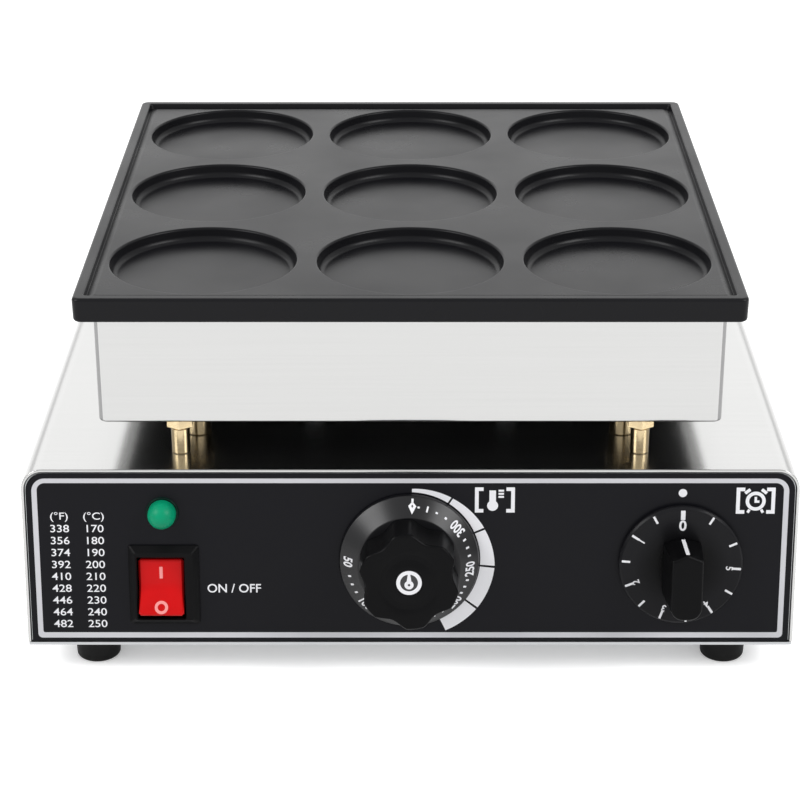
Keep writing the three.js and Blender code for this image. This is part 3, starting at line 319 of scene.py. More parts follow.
def bumped(material, height, distance, strength):
    """Adds a bump of the given depth in metres, on top of any bump before it."""
    nodes, links = material.node_tree.nodes, material.node_tree.links
    shader = nodes["Principled BSDF"]
    bump = nodes.new("ShaderNodeBump")
    bump.inputs["Distance"].default_value = distance
    bump.inputs["Strength"].default_value = strength
    links.new(height, bump.inputs["Height"])
    if shader.inputs["Normal"].is_linked:
        links.new(shader.inputs["Normal"].links[0].from_socket, bump.inputs["Normal"])
    links.new(bump.outputs["Normal"], shader.inputs["Normal"])


def brushed(name, color, roughness, scales=(6, 900, 900), spread=0.02, shade=0.012,
            tangent=None, anisotropic=0.0):
    """Sheet steel with fine lines along the axis of the smallest scale."""
    material = new_material(name, color, roughness, 1.0)
    lines = stretched_noise(material, scales, 5.0, 0.7)
    feed(material, "Roughness", between(material, lines, roughness - spread, roughness + spread))
    light = tuple(min(1.0, c + shade) for c in color)
    dark = tuple(c - shade for c in color)
    feed(material, "Base Color", mixed(material, between(material, lines, 0.0, 1.0), dark, light))
    bumped(material, lines, 1e-6, 0.15)
    waves = stretched_noise(material, (9, 9, 9), 1.0, 0.4)
    bumped(material, waves, 2.5e-4, 0.12)
    if tangent:
        nodes, links = material.node_tree.nodes, material.node_tree.links
        direction = nodes.new("ShaderNodeTangent")
        direction.direction_type = "UV_MAP"
        direction.uv_map = tangent
        shader = nodes["Principled BSDF"]
        shader.inputs["Anisotropic"].default_value = anisotropic
        links.new(direction.outputs["Tangent"], shader.inputs["Tangent"])
    return material


def moulded(name, color, roughness, grain=2500, depth=6e-6, shade=0.25, spec=0.5):
    """Plastic, rubber or coating with a fine moulded grain and a little unevenness."""
    material = new_material(name, color, roughness)
    material.node_tree.nodes["Principled BSDF"].inputs["Specular IOR Level"].default_value = spec
    fine = stretched_noise(material, (grain,) * 3, 3.0, 0.6)
    broad = stretched_noise(material, (25, 25, 25), 3.0, 0.5)
    feed(material, "Roughness", between(material, broad, roughness * 0.85, roughness * 1.15))
    darker = tuple(c * (1 - shade) for c in color)
    lighter = tuple(c * (1 + shade) for c in color)
    feed(material, "Base Color", mixed(material, between(material, broad, 0.0, 1.0), darker, lighter))
    bumped(material, fine, depth, 0.5)
    return material


def shade_towards(material, centre, near, far, inner, outer):
    """Painted shade: colour that runs from inner to outer with the distance from a centre, in millimetres."""
    nodes, links = material.node_tree.nodes, material.node_tree.links
    spot = nodes.new("ShaderNodeTexCoord")
    reach = nodes.new("ShaderNodeVectorMath")
    reach.operation = "DISTANCE"
    reach.inputs[1].default_value = centre * MM
    links.new(spot.outputs["Object"], reach.inputs[0])
    share = between(material, reach.outputs["Value"], 0.0, 1.0, near * MM, far * MM)
    feed(material, "Base Color", mixed(material, share, inner, outer))


def printed(name, color):
    return moulded(name, color, 0.5, grain=4000, depth=3e-6, shade=0.04)


steel = brushed("brushed_steel", (0.50, 0.50, 0.495), 0.20, tangent="grain", anisotropic=0.3)
# Darker steel for the heater box's corner bends: a painted dark reflection.
painted_dark_bend_steel = brushed("painted_dark_bend_steel", (0.26, 0.26, 0.26), 0.3)
plain_steel = brushed("plain_steel", (0.50, 0.50, 0.495), 0.25)
zinc = brushed("zinc_steel", (0.45, 0.46, 0.47), 0.40, scales=(300, 300, 300))
brass = brushed("brass", (0.54, 0.43, 0.26), 0.22, scales=(400, 400, 4000), spread=0.05, shade=0.03)
coating = moulded("non_stick", (0.005, 0.005, 0.0062), 0.30, grain=1800, depth=8e-6, shade=0.06, spec=0.14)
film_black = moulded("black_film", (0.004, 0.004, 0.0058), 0.40, grain=3000, depth=2e-6, shade=0.1, spec=0.12)
plastic = moulded("black_plastic", (0.003, 0.003, 0.0034), 0.34, grain=3500, depth=3e-6, spec=0.07)
timer_plastic = moulded("dial_plastic", (0.009, 0.009, 0.01), 0.24, grain=3500, depth=1.5e-6, spec=0.08)
skirt_plastic = moulded("skirt_plastic", (0.004, 0.004, 0.005), 0.28, grain=3500, depth=1.5e-6, spec=0.34)
red = moulded("red_plastic", (0.54, 0.005, 0.006), 0.2, grain=1500, depth=1e-6, shade=0.2, spec=0.1)
green = moulded("green_lens", (0.001, 0.255, 0.125), 0.34, grain=1500, depth=1e-6, shade=0.2, spec=0.15)
dark_green = moulded("dark_green", (0.001, 0.012, 0.008), 0.3, grain=1500, depth=1e-6, shade=0.2, spec=0.1)
rubber = moulded("rubber", (0.005, 0.005, 0.005), 0.6, grain=2500, depth=1.2e-5, spec=0.15)
# Near-black for the heater box's floor: painted shade, in place of the shadow in the gap above the base.
painted_shade_underside = moulded("painted_shade_underside", (0.004, 0.004, 0.004), 0.7, grain=900, depth=1e-5, spec=0.05)
board = moulded("insulation", (0.78, 0.75, 0.66), 0.9, grain=900, depth=8e-5, shade=0.08)
element_steel = brushed("element", (0.16, 0.15, 0.14), 0.5, scales=(300, 300, 300), shade=0.03)
copper = brushed("copper", (0.55, 0.24, 0.12), 0.35, scales=(300, 300, 300), shade=0.03)
pale = moulded("pale_moulding", (0.68, 0.65, 0.58), 0.6, shade=0.05)
badge_metal = moulded("badge", (0.012, 0.012, 0.014), 0.3)
sleeve = moulded("wire_sleeve", (0.50, 0.48, 0.42), 0.85, grain=1600, depth=6e-5, shade=0.1)
white_print = printed("white_print", (0.82, 0.82, 0.85))
silver_print = printed("silver_print", (0.58, 0.58, 0.61))
pale_mark = printed("rocker_mark", (0.85, 0.29, 0.28))

SLOT_MATERIALS = {
    "non_stick": coating,
    "brushed_steel": plain_steel,
    "zinc_steel": zinc,
    "brass": brass,
    "black_film": film_black,
    "black_plastic": plastic,
    "red_plastic": red,
    "green_lens": green,
    "rubber": rubber,
    "insulation": board,
    "element": element_steel,
    "copper": copper,
    "pale_moulding": pale,
    "badge": badge_metal,
    "wire_sleeve": sleeve,
}


def dress_cad_nodes():
    slots = {entry["node"]: entry["material_slot"] for entry in frame["record"]["subparts"]}
    for name, node in frame["nodes"].items():
        node.data.materials.clear()
        node.data.materials.append(SLOT_MATERIALS[slots[name]])


def add_grain_uv(shown):
    """A map whose first axis runs across the brushed lines, which lie along X, or along Y on the sides."""
    mesh = shown.data
    uv = mesh.uv_layers.new(name="grain")
    for polygon in mesh.polygons:
        sideways = abs(polygon.normal.x) > 0.7
        for loop in polygon.loop_indices:
            x, y, z = mesh.vertices[mesh.loops[loop].vertex_index].co
            uv.data[loop].uv = (z, y) if sideways else (y + z, x)


# Baking plate
def rounded_square(half, radius, height, steps=8):
    return at_height(rounded_rectangle(-half, half, -half, half, radius, radius, steps), height)


def baking_plate():
    low, high = box("baking_plate")
    centre = middle("baking_plate")
    half = (high.x - low.x) / 2
    rim_top = high.z
    deck = rim_top - DECK_BELOW_RIM
    underside = box("heater_box")[1].z + 0.3
    rim_width, rim_foot, slope_start, gutter_depth = 4.3, 4.8, 8.0, 0.9
    mould_radius, mould_depth = 37.5, 5.5
    profile = rounded_path([
        (mould_radius + 1.0, 0, 0),
        (mould_radius - 0.1, 0, 1.0),
        (mould_radius - 0.9, -mould_depth, 2.6),
        (mould_radius - 8.0, -mould_depth, 0),
    ], 8, closed=False)
    section = rounded_path([
        (half - slope_start - 0.4, deck, 0),
        (half - slope_start, deck, 2.4),
        (half - rim_foot, deck - gutter_depth, 0.15),
        (half - rim_width, rim_top, 0.8),
        (half, rim_top, 1.2),
        (half - 0.2, underside, 1.4),
        (half - 14, underside, 0),
    ], 6, closed=False)
    solid = Solid()
    count = 128
    openings = frame["record"]["physics"]["openings"]
    rims = []
    for opening in openings:
        if not opening["name"].startswith("mould"):
            continue
        corners = opening["box_m"]
        x = (corners[0][0] + corners[1][0]) / 2 / MM - centre.x
        y = (corners[0][1] + corners[1][1]) / 2 / MM - centre.y
        rings = [at_height(circle(radius, count, x, y), deck + height) for radius, height in profile]
        solid.skin(rings + [[Vector((x, y, deck - mould_depth))]])
        rims.append(circle(profile[0].x, count, x, y))
    # The corners are rounder towards the outside
    least_bend, bend_share = 1.5, 0.3
    edge = []
    for width, height in section:
        bend = least_bend + (rim_width - half + width) * bend_share
        edge.append(rounded_square(width, max(least_bend, bend), height))
    indexed = solid.skin(edge)
    solid.cap(indexed[-1], False)
    solid.flat([point.to_2d() for point in edge[0]], rims, deck)
    place = Matrix.Translation((centre.x, centre.y, 0))
    piece("plate_casting", solid, coating, place,
          replaces=["baking_plate"], sharp=50)


# Heater box
def heater_box():
    low, high = box("heater_box")
    centre = middle("heater_box")
    half = (high.x - low.x) / 2
    sheet, floor_edge = 1.2, 6
    section = rounded_path([
        (half - sheet, high.z - 3, 0),
        (half - sheet, high.z, 0.3),
        (half, high.z, 0.3),
        (half, low.z, 1.8),
        (half - floor_edge, low.z, 0),
    ], 5, closed=False)
    solid = Solid()
    solid.skin([rounded_square(width, 2.5, height, 10) for width, height in section])
    place = Matrix.Translation((centre.x, centre.y, 0))
    skin = piece("heater_box_wall", solid, steel, place,
                 replaces=["heater_box"], sharp=50)
    add_grain_uv(skin)
    # The corner bends take the darker steel: a painted dark reflection.
    skin.data.materials.append(painted_dark_bend_steel)
    for polygon in skin.data.polygons:
        on_corner_bend = min(abs(polygon.normal.x), abs(polygon.normal.y)) > 0.25
        if on_corner_bend:
            polygon.material_index = 1
    floor = Solid()
    outline = [point.to_2d() for point in rounded_square(half - floor_edge + 0.1, 2, 0)]
    floor.prism(outline, low.z, low.z + sheet)
    # The box's floor is a near-black sheet: painted shade.
    piece("heater_box_floor", floor, painted_shade_underside, place, sharp=50)


# The panel frame: X to the right, Y up the face, Z out of it, the bottom edge of the base at Y = 0
def panel_frame():
    joint = JOINTS["temperature_knob_turn"]
    out = -Vector(joint["axis"])
    right = Vector((1, 0, 0))
    up = out.cross(right)
    axis_point = Vector(joint["pos_m"]) / MM
    rise = (axis_point.z - box("bottom_plate")[0].z) / up.z
    origin = axis_point - up * rise
    origin.x = 0
    columns = Matrix((right, up, out)).transposed().to_4x4()
    return Matrix.Translation(origin) @ columns


PANEL = panel_frame()


def on_panel(x, up, out=0.0):
    return PANEL @ Matrix.Translation((x, up, out))


def joint_place(name):
    """The panel frame moved to a joint's pivot."""
    local = PANEL.inverted() @ (Vector(JOINTS[name]["pos_m"]) / MM)
    return on_panel(local.x, local.y)


def switch_place():
    return joint_place("power_rocker_tilt")


# Base
def base_shell():
    low, high = box("base_shell")
    half, bend, sheet, ease = high.x, 8.5, 1.2, 0.25

    def outline(inset):
        radius = bend - inset
        corners = [
            (half - inset, low.z, 0),
            (half - inset, high.z - inset, radius),
            (-half + inset, high.z - inset, radius),
            (-half + inset, low.z, 0),
        ]
        return rounded_path(corners, 12, closed=False)

    plane_point, plane_normal = PANEL.translation, PANEL.col[2].to_3d()

    def front(point, back_off):
        """Y of the leaning front plane at a height, moved back along Y."""
        return plane_point.y - (point.y - plane_point.z) * plane_normal.z / plane_normal.y + back_off

    def section(inset, place):
        return [Vector((point.x, place(point), point.y)) for point in outline(inset)]

    rings = [
        section(0, lambda p: front(p, ease)),
        section(ease, lambda p: front(p, 0)),
        section(sheet - ease, lambda p: front(p, 0)),
        section(sheet, lambda p: front(p, ease)),
        section(sheet, lambda p: high.y - ease),
        section(sheet - ease, lambda p: high.y),
        section(ease, lambda p: high.y),
        section(0, lambda p: high.y - ease),
    ]
    solid = Solid()
    indexed = solid.skin(rings, closed=False, around=True)
    solid.faces.append([ring[0] for ring in indexed])
    solid.faces.append([ring[-1] for ring in reversed(indexed)])
    shell = piece("base_cover", solid, steel, replaces=["base_shell"], sharp=50)
    add_grain_uv(shell)


# Standoffs and wire tubes
STANDOFF = {"radius": 3.75, "across_flats": 10}
WIRE_TUBE = {"radius": 5.15, "across_flats": 12.6}
HEAD_HEIGHT = 7.2


def post(node, radius, across_flats):
    """A turned post that stands on the base, with a hexagon head under the heater box."""
    bottom, head = box("base_shell")[1].z, box("heater_box")[0].z
    centre = middle(node)
    solid = Solid()
    hexagon = across_flats / 2 / math.cos(math.pi / 6)
    hex_low = head - HEAD_HEIGHT
    shank = rounded_path([
        (radius - 0.3, hex_low + 0.4, 0),
        (radius - 0.3, hex_low - 0.5, 0.2),
        (radius, hex_low - 0.8, 0.2),
        (radius, bottom + 0.4, 0.2),
        (radius - 0.4, bottom, 0),
    ], 3, closed=False)
    solid.turned([(0, hex_low + 0.4)] + [tuple(point) for point in shank] + [(0, bottom)], 64)
    nut = [(hexagon - 0.8, head), (hexagon, head - 0.5), (hexagon, hex_low + 0.5), (hexagon - 0.8, hex_low)]
    solid.turned([(0, head), *nut, (0, hex_low)], 6, math.pi / 6)
    place = Matrix.Translation((centre.x, centre.y, 0))
    piece(f"{node}_turned", solid, brass, place, replaces=[node], sharp=25)


# Feet
def foot(node):
    low, high = box(node)
    centre = middle(node)
    top, bottom, edge, sink, sink_depth, bore = 9.4, 8.9, 1.6, 4.8, 7, 2.3
    profile = rounded_path([
        (bore, high.z, 0),
        (top, high.z, 0.3),
        (bottom, 0, edge),
        (sink, 0, 0.4),
        (sink, sink_depth, 0),
        (bore, sink_depth, 0),
    ], 6, closed=False)
    solid = Solid()
    solid.skin([at_height(circle(radius, 64), height) for radius, height in profile], around=True)
    place = Matrix.Translation((centre.x, centre.y, 0))
    piece(f"{node}_moulded", solid, rubber, place, replaces=[node], sharp=50)


# Control panel film and its print
FILM = {"half": 153.2, "low": 1.8, "high": 73.4, "corner": 7.0, "thickness": 0.5}


def control_film():
    solid = Solid()
    outline = rounded_rectangle(-FILM["half"], FILM["half"], FILM["low"], FILM["high"], 0.3, FILM["corner"])
    switch = PANEL.inverted() @ switch_place().translation
    lamp = PANEL.inverted() @ middle("lamp_lens")
    across, up, lamp_radius, shaft_radius, ease = 12.3, 15.1, 5.7, 9, 0.12
    holes = [
        rounded_rectangle(switch.x - across, switch.x + across, switch.y - up, switch.y + up, 1, 1, 3),
        circle(lamp_radius, 32, lamp.x, lamp.y),
    ]
    for name in ("temperature_knob_turn", "timer_knob_turn"):
        axis = PANEL.inverted() @ joint_place(name).translation
        holes.append(circle(shaft_radius, 48, axis.x, axis.y))
    top = shrunk(outline, ease)
    solid.flat(top, holes, 0, True)
    solid.flat(outline, holes, -FILM["thickness"], False)
    solid.skin([at_height(outline, -FILM["thickness"]), at_height(outline, -ease), at_height(top, 0)])
    for hole in holes:
        solid.skin([at_height(hole, 0), at_height(hole, -FILM["thickness"])])
    piece("panel_film", solid, film_black, PANEL, replaces=["control_film"], sharp=30)


def text_into(solid, words, size, place, weight):
    """Adds the letters or digits as thin solids, their middle at the origin of place."""
    curve = bpy.data.curves.new("words", "FONT")
    curve.body = words
    curve.size = size
    curve.align_x = "CENTER"
    curve.align_y = "CENTER"
    curve.extrude = PRINT / 2
    curve.offset = weight
    curve.resolution_u = 4
    holder = bpy.data.objects.new("words", curve)
    bpy.context.scene.collection.objects.link(holder)
    evaluated = holder.evaluated_get(bpy.context.evaluated_depsgraph_get())
    mesh = evaluated.to_mesh()
    indexed = solid.add([place @ vertex.co for vertex in mesh.vertices])
    solid.faces.extend([indexed[i] for i in polygon.vertices] for polygon in mesh.polygons)
    evaluated.to_mesh_clear()
    bpy.data.objects.remove(holder)


def band(solid, outer, inner, place=Matrix.Identity(4)):
    """A printed line between two outlines with the same number of points."""
    rings = [at_height(outer, 0), at_height(outer, PRINT), at_height(inner, PRINT), at_height(inner, 0)]
    solid.skin([[place @ point for point in ring] for ring in rings], around=True)


def bar(solid, x, y, width, height, turn=0.0, place=Matrix.Identity(4)):
    outline = rounded_rectangle(-width / 2, width / 2, -height / 2, height / 2, 0.15, 0.15, 2)
    spot = place @ Matrix.Translation((x, y, 0)) @ Matrix.Rotation(turn, 4, "Z")
    solid.prism(outline, 0, PRINT, place=spot)


def panel_line():
    """The silver line just inside the edge of the film."""
    solid = Solid()
    outer = rounded_rectangle(-150.8, 150.8, 3.3, 71.4, 1.8, 5.4, 10)
    inner = rounded_rectangle(-148.7, 148.7, 5.6, 69.5, 0.8, 3.2, 10)
    band(solid, outer, inner)
    piece("panel_line", solid, silver_print, PANEL)


def bracketed(solid, x, y, width, height):
    """Square brackets round a small drawing."""
    stroke, arm = 1.5, 3.4
    for side in (-1, 1):
        outer, inner, tip = side * width / 2, side * (width / 2 - stroke), side * (width / 2 - arm)
        outline = [
            (outer, -height / 2), (outer, height / 2), (tip, height / 2), (tip, height / 2 - stroke),
            (inner, height / 2 - stroke), (inner, -height / 2 + stroke), (tip, -height / 2 + stroke),
            (tip, -height / 2),
        ]
        corners = [Vector((x + across, y + up)) for across, up in outline]
        solid.prism(corners if side > 0 else corners[::-1], 0, PRINT)


def disc(solid, x, y, radius, place=Matrix.Identity(4)):
    solid.prism(circle(radius, 32), 0, PRINT, place=place @ Matrix.Translation((x, y, 0)))


def annulus(solid, x, y, outer, inner, place=Matrix.Identity(4)):
    band(solid, circle(outer, 40, x, y), circle(inner, 40, x, y), place)


def temperature_table(solid):
    """Matching temperatures in both scales, one pair to a line."""
    top_row, pitch = 50.1, 5.11
    left, right = -140.3, -126.5
    heading_up, heading_size, digit_size, weight = 55.4, 4.3, 4.5, 0.02
    wide = Matrix.Diagonal((1.18, 1, 1, 1))
    rows = [(heading_up, heading_size, "(°F)", "(°C)")]
    for row, celsius in enumerate(range(170, 251, 10)):
        fahrenheit = round(celsius * 9 / 5 + 32)
        rows.append((top_row - row * pitch, digit_size, str(fahrenheit), str(celsius)))
    for up, size, *words in rows:
        for x, word in zip((left, right), words):
            text_into(solid, word, size, Matrix.Translation((x, up, 0)) @ wide, weight)


def thermometer_sign(solid, x, y):
    bracketed(solid, x, y, 15.9, 10.6)
    bulb, stem = 2.2, 1.3
    outline = []
    start = math.asin(stem / bulb)
    for step in range(25):
        turn = start + (2 * math.pi - 2 * start) * step / 24
        outline.append(Vector((x - 0.9 - bulb * math.sin(turn), y - 2.4 + bulb * math.cos(turn))))
    outline += [Vector((x - 0.9 + stem, y + 4.0)), Vector((x - 0.9 - stem, y + 4.0))]
    solid.prism(outline, 0, PRINT)
    for step in range(3):
        bar(solid, x + 2.5, y + 1.3 + step * 1.3, 2.2, 0.8)


def clock_sign(solid, x, y):
    bracketed(solid, x, y, 15.5, 11)
    annulus(solid, x, y - 0.2, 4.0, 2.6)
    hands = [(-0.5, 1.6), (-0.5, -0.9), (1.5, -0.9), (1.5, 0.1), (0.5, 0.1), (0.5, 1.6)]
    solid.prism([Vector((x + across, y + up)) for across, up in hands], 0, PRINT)
    for side in (-1, 1):
        bar(solid, x + side * 3.3, y + 3.9, 2.6, 1.3, side * -math.radians(38))
        bar(solid, x + side * 2.7, y - 4.4, 1.1, 1.5, side * math.radians(30))


def heat_arc(solid, x, y):
    """A scale round the temperature knob, in five fields that widen clockwise."""
    inner, gap, steps = 28.6, 0.8, 12
    breaks = (1.5, 33.4, 66.5, 95.3, 127.5, 155)
    widths = (1.4, 2.6, 4.3, 5.9, 5.9, 5.4)
    ease = gap / 2 / inner
    for i in range(len(breaks) - 1):
        outline = []
        start, end = math.radians(breaks[i]), math.radians(breaks[i + 1])
        turns = [start + ease + (end - start - 2 * ease) * step / steps for step in range(steps + 1)]
        for step, turn in enumerate(turns):
            width = widths[i] + (widths[i + 1] - widths[i]) * step / steps
            outline.append((x + (inner + width) * math.sin(turn), y + (inner + width) * math.cos(turn)))
        for turn in reversed(turns):
            outline.append((x + inner * math.sin(turn), y + inner * math.cos(turn)))
        solid.prism(list(reversed(outline)), 0, PRINT)


def panel_print():
    solid = Solid()
    temperature_table(solid)
    thermometer_sign(solid, 33.7, 62.4)
    clock_sign(solid, 137.6, 62.1)
    knob = PANEL.inverted() @ joint_place("temperature_knob_turn").translation
    timer = PANEL.inverted() @ joint_place("timer_knob_turn").translation
    heat_arc(solid, knob.x, knob.y)
    disc(solid, timer.x, timer.y + 29.7, 1.7)
    text_into(solid, "ON / OFF", 5.2, Matrix.Translation((-71, 24.5, 0)), 0.05)
    piece("panel_print", solid, white_print, PANEL, sharp=30)


# Rocker switch
def rectangle_ring(width, height, radius, level):
    outline = rounded_rectangle(-width / 2, width / 2, -height / 2, height / 2, radius, radius, 3)
    return at_height(outline, level)


# The opening and the rocker sit a little to the left of the bezel's middle and below it
ROCKER_OFFSET = (-1.1, -0.8)


def switch_bezel():
    width, height, rise, chamfer = 28.3, 33.6, 3.2, 2.4
    open_width, open_height = 19.0, 26.2
    aside, below = ROCKER_OFFSET
    solid = Solid()
    rings = [
        rectangle_ring(24, 29.6, 1, -20),
        rectangle_ring(24, 29.6, 1, 0.1),
        rectangle_ring(width, height, 1.2, 0.1),
        rectangle_ring(width, height, 1.2, 0.7),
        rectangle_ring(width - 0.3, height - 0.3, 1.1, 0.9),
        rectangle_ring(width - 2 * chamfer + 0.4, height - 2 * chamfer + 0.4, 1.0, rise - 0.2),
        rectangle_ring(width - 2 * chamfer, height - 2 * chamfer, 1.0, rise),
        rectangle_ring(open_width + 0.8, open_height + 0.8, 0.8, rise),
        rectangle_ring(open_width, open_height, 0.5, rise - 0.5),
        rectangle_ring(open_width, open_height, 0.5, -8.5),
    ]
    for ring in rings[-3:]:
        for point in ring:
            point.x += aside
            point.y += below
    indexed = solid.skin(rings)
    solid.cap(indexed[0], False)
    solid.cap(indexed[-1], True)
    piece("switch_bezel", solid, plastic, switch_place(),
          replaces=["switch_housing"], sharp=20)


def switch_rocker():
    """A rocker in the shape of a shallow V, drawn level and then tilted with its upper end pressed in."""
    half_width, radius, centre_out, back = 9.1, 12.7, 1.4, -5.0
    tilt = math.radians(10)
    slope = math.tan(tilt)
    end = radius * math.cos(0.29)
    crease, steps = 0.9, 12
    section = []
    for step in range(steps + 1):
        y = -end + 2 * end * step / steps
        rise = math.sqrt(y * y + crease * crease) - crease
        section.append((y, centre_out + rise * slope))
    back_half, end_corner, ease = 9.5, 0.9, 0.9
    profile = [(-back_half, back), *section, (back_half, back)]
    rounded = (1, len(profile) - 2)
    corners = [(y, z, end_corner if i in rounded else 0) for i, (y, z) in enumerate(profile)]
    outline = rounded_path(corners, 4)
    solid = Solid()
    levels = [(-half_width, ease), (-half_width + ease, 0), (half_width - ease, 0), (half_width, ease)]
    rings = []
    for x, inset in levels:
        loop = shrunk(outline, -inset) if inset else outline
        rings.append([Vector((x, point[0], point[1])) for point in loop])
    indexed = solid.skin(rings)
    solid.cap(indexed[0], False)
    solid.cap(indexed[-1], True)
    place = switch_place() @ Matrix.Translation((*ROCKER_OFFSET, 0)) @ Matrix.Rotation(-tilt, 4, "X")
    piece("rocker_moulding", solid, red, place, body="power_rocker",
          replaces=["power_rocker"], sharp=35)
    marks = Solid()
    for y, shape in ((5.9, "bar"), (-8.3, "ring")):
        above_face = 0.03
        height = centre_out + (abs(y) - crease) * slope + above_face
        spot = Matrix.Translation((0, y, height)) @ Matrix.Rotation(math.copysign(tilt, y), 4, "X")
        if shape == "bar":
            bar(marks, 0, 0, 1.3, 5.0, place=spot)
        else:
            annulus(marks, 0, 0, 2.7, 1.5, place=spot)
    piece("rocker_marks", marks, pale_mark, place, body="power_rocker")


# Indicator lamp
def indicator_lamp():
    spot = PANEL.inverted() @ middle("lamp_lens")
    place = on_panel(spot.x, spot.y)
    radius, foot, top, steps = 5.6, 2.8, 8.6, 12
    dome = []
    for step in range(steps + 1):
        angle = math.pi / 2 * step / steps
        dome.append((radius * math.sin(angle), foot + (top - foot) * math.cos(angle)))
    solid = Solid()
    solid.turned([*dome, (radius, 0.05), (0, 0.05)], 64)
    piece("lamp_dome", solid, green, place, replaces=["lamp_lens"], sharp=35)
    rim = rounded_path([(5.7, 0.6, 0), (6.4, 0.6, 0.3), (6.7, 0.05, 0), (5.7, 0.05, 0)], 4, closed=False)
    ring = Solid()
    ring.skin([at_height(circle(reach, 64), height) for reach, height in rim], around=True)
    piece("lamp_ring", ring, dark_green, place, sharp=35)


# Temperature knob, whose skirt slopes between these places of radius and height
SKIRT_TOP = (20.6, 8.0)
SKIRT_EDGE = (27.8, 2.3)
SKIRT_SLOPE = math.atan2(SKIRT_TOP[1] - SKIRT_EDGE[1], SKIRT_EDGE[0] - SKIRT_TOP[0])


def temperature_dial():
    place = joint_place("temperature_knob_turn")
    profile = rounded_path([
        (8.5, SKIRT_TOP[1], 0),
        (*SKIRT_TOP, 0.8),
        (*SKIRT_EDGE, 0.8),
        (28.2, 0.8, 0.2),
        (19.5, 0.8, 0),
        (19.5, 6.0, 0),
        (8.5, 6.0, 0),
    ], 5, closed=False)
    solid = Solid()
    solid.skin([at_height(circle(radius, KNOB_ROUND), height) for radius, height in profile], around=True)
    piece("temperature_skirt", solid, skirt_plastic, place, body="temperature_knob",
          replaces=["temperature_dial"], sharp=30)


def on_cone(turn, radius):
    """A place on the sloping skirt, its Y pointing away from the axis, at a clockwise turn from the top."""
    height = SKIRT_TOP[1] - (radius - SKIRT_TOP[0]) * math.tan(SKIRT_SLOPE)
    about = Matrix.Rotation(-turn, 4, "Z")
    return about @ Matrix.Translation((0, radius, height)) @ Matrix.Rotation(-SKIRT_SLOPE, 4, "X")


def temperature_marks():
    place = joint_place("temperature_knob_turn")
    solid = Solid()
    turns = (52, 95, 132, 179, 226, 272)
    narrow = Matrix.Rotation(math.pi, 4, "Z") @ Matrix.Diagonal((0.68, 1, 1, 1))
    for i, turn in enumerate(turns):
        text_into(solid, str(300 - 50 * i), 6.2, on_cone(math.radians(turn), 24.6) @ narrow, 0.16)
        if i == 0:
            continue
        for tick in range(1, 4):
            between_turn = math.radians(turns[i - 1] + (turn - turns[i - 1]) * (0.5 + (tick - 2) * 0.19))
            bar(solid, 0, 0, 0.8, 1.6, place=on_cone(between_turn, 24.3))
    for turn, width, height in ((9, 0.9, 0.8), (17.5, 0.7, 2.6), (27, 1.0, 0.8), (37, 1.0, 1.0)):
        bar(solid, 0, 0, width, height, place=on_cone(math.radians(turn), 24.2))
    pointer = on_cone(math.radians(3), 24.3)
    outer = [Vector(point) for point in ((0, -3.3), (1.6, 0.2), (0, 2.2), (-1.6, 0.2))]
    core = [Vector(point) for point in ((0, -0.6), (0.4, 0.2), (0, 0.9), (-0.4, 0.2))]
    band(solid, outer, core, pointer)
    bar(solid, 0, 2.4, 0.9, 1.9, place=pointer)
    piece("temperature_marks", solid, white_print, place, body="temperature_knob",
          sharp=30)


FLUTES = 6
FLUTE_SPREAD = 0.5
FLUTE_TURN = math.radians(90 + 37.4)
GRIP_ROUND = FLUTES * 28


def fluted(radius, depth, inset):
    """A circle with a hollow for each finger, drawn in by an inset."""
    points = []
    for i in range(GRIP_ROUND):
        angle = 2 * math.pi * i / GRIP_ROUND
        hollow = max(0.0, (math.cos(FLUTES * (angle - FLUTE_TURN)) + FLUTE_SPREAD) / (1 + FLUTE_SPREAD))
        reach = radius - inset - depth * hollow
        points.append(Vector((reach * math.cos(angle), reach * math.sin(angle))))
    return points


def temperature_grip():
    place = joint_place("temperature_knob_turn")
    radius, depth, foot, face = 20.1, 2.6, 8.2, KNOB_FACE
    foot_ease, face_ease = 0.5, 1.0
    solid = Solid()
    rings = [at_height(circle(8, GRIP_ROUND), foot), at_height(fluted(radius, depth, 1.0), foot)]
    for step in range(5):
        angle = math.pi / 2 * step / 4
        inset = foot_ease * (1 - math.sin(angle))
        rings.append(at_height(fluted(radius, depth, inset), foot + foot_ease * (1 - math.cos(angle))))
    for step in range(9):
        angle = math.pi / 2 * step / 8
        inset = face_ease * (1 - math.cos(angle)) + 0.2
        rings.append(at_height(fluted(radius, depth, inset), face - face_ease * (1 - math.sin(angle))))
    rings.append(at_height(fluted(radius, depth, 2.2), face - 0.03))
    bowl = rounded_path([
        (13.6, face - 0.1, 0), (11.5, face - 0.8, 2.5), (9.4, face - 0.8, 2.0), (6.6, face - 0.25, 3.0),
        (5.4, face - 0.2, 0), (5.4, face - 1.2, 0),
    ], 5, closed=False)
    rings.extend(at_height(circle(reach, GRIP_ROUND), height) for reach, height in bowl)
    rings.append([Vector((0, 0, face - 1.2))])
    solid.skin(rings)
    piece("temperature_handle", solid, plastic, place, body="temperature_knob",
          replaces=["temperature_grip"], sharp=28)


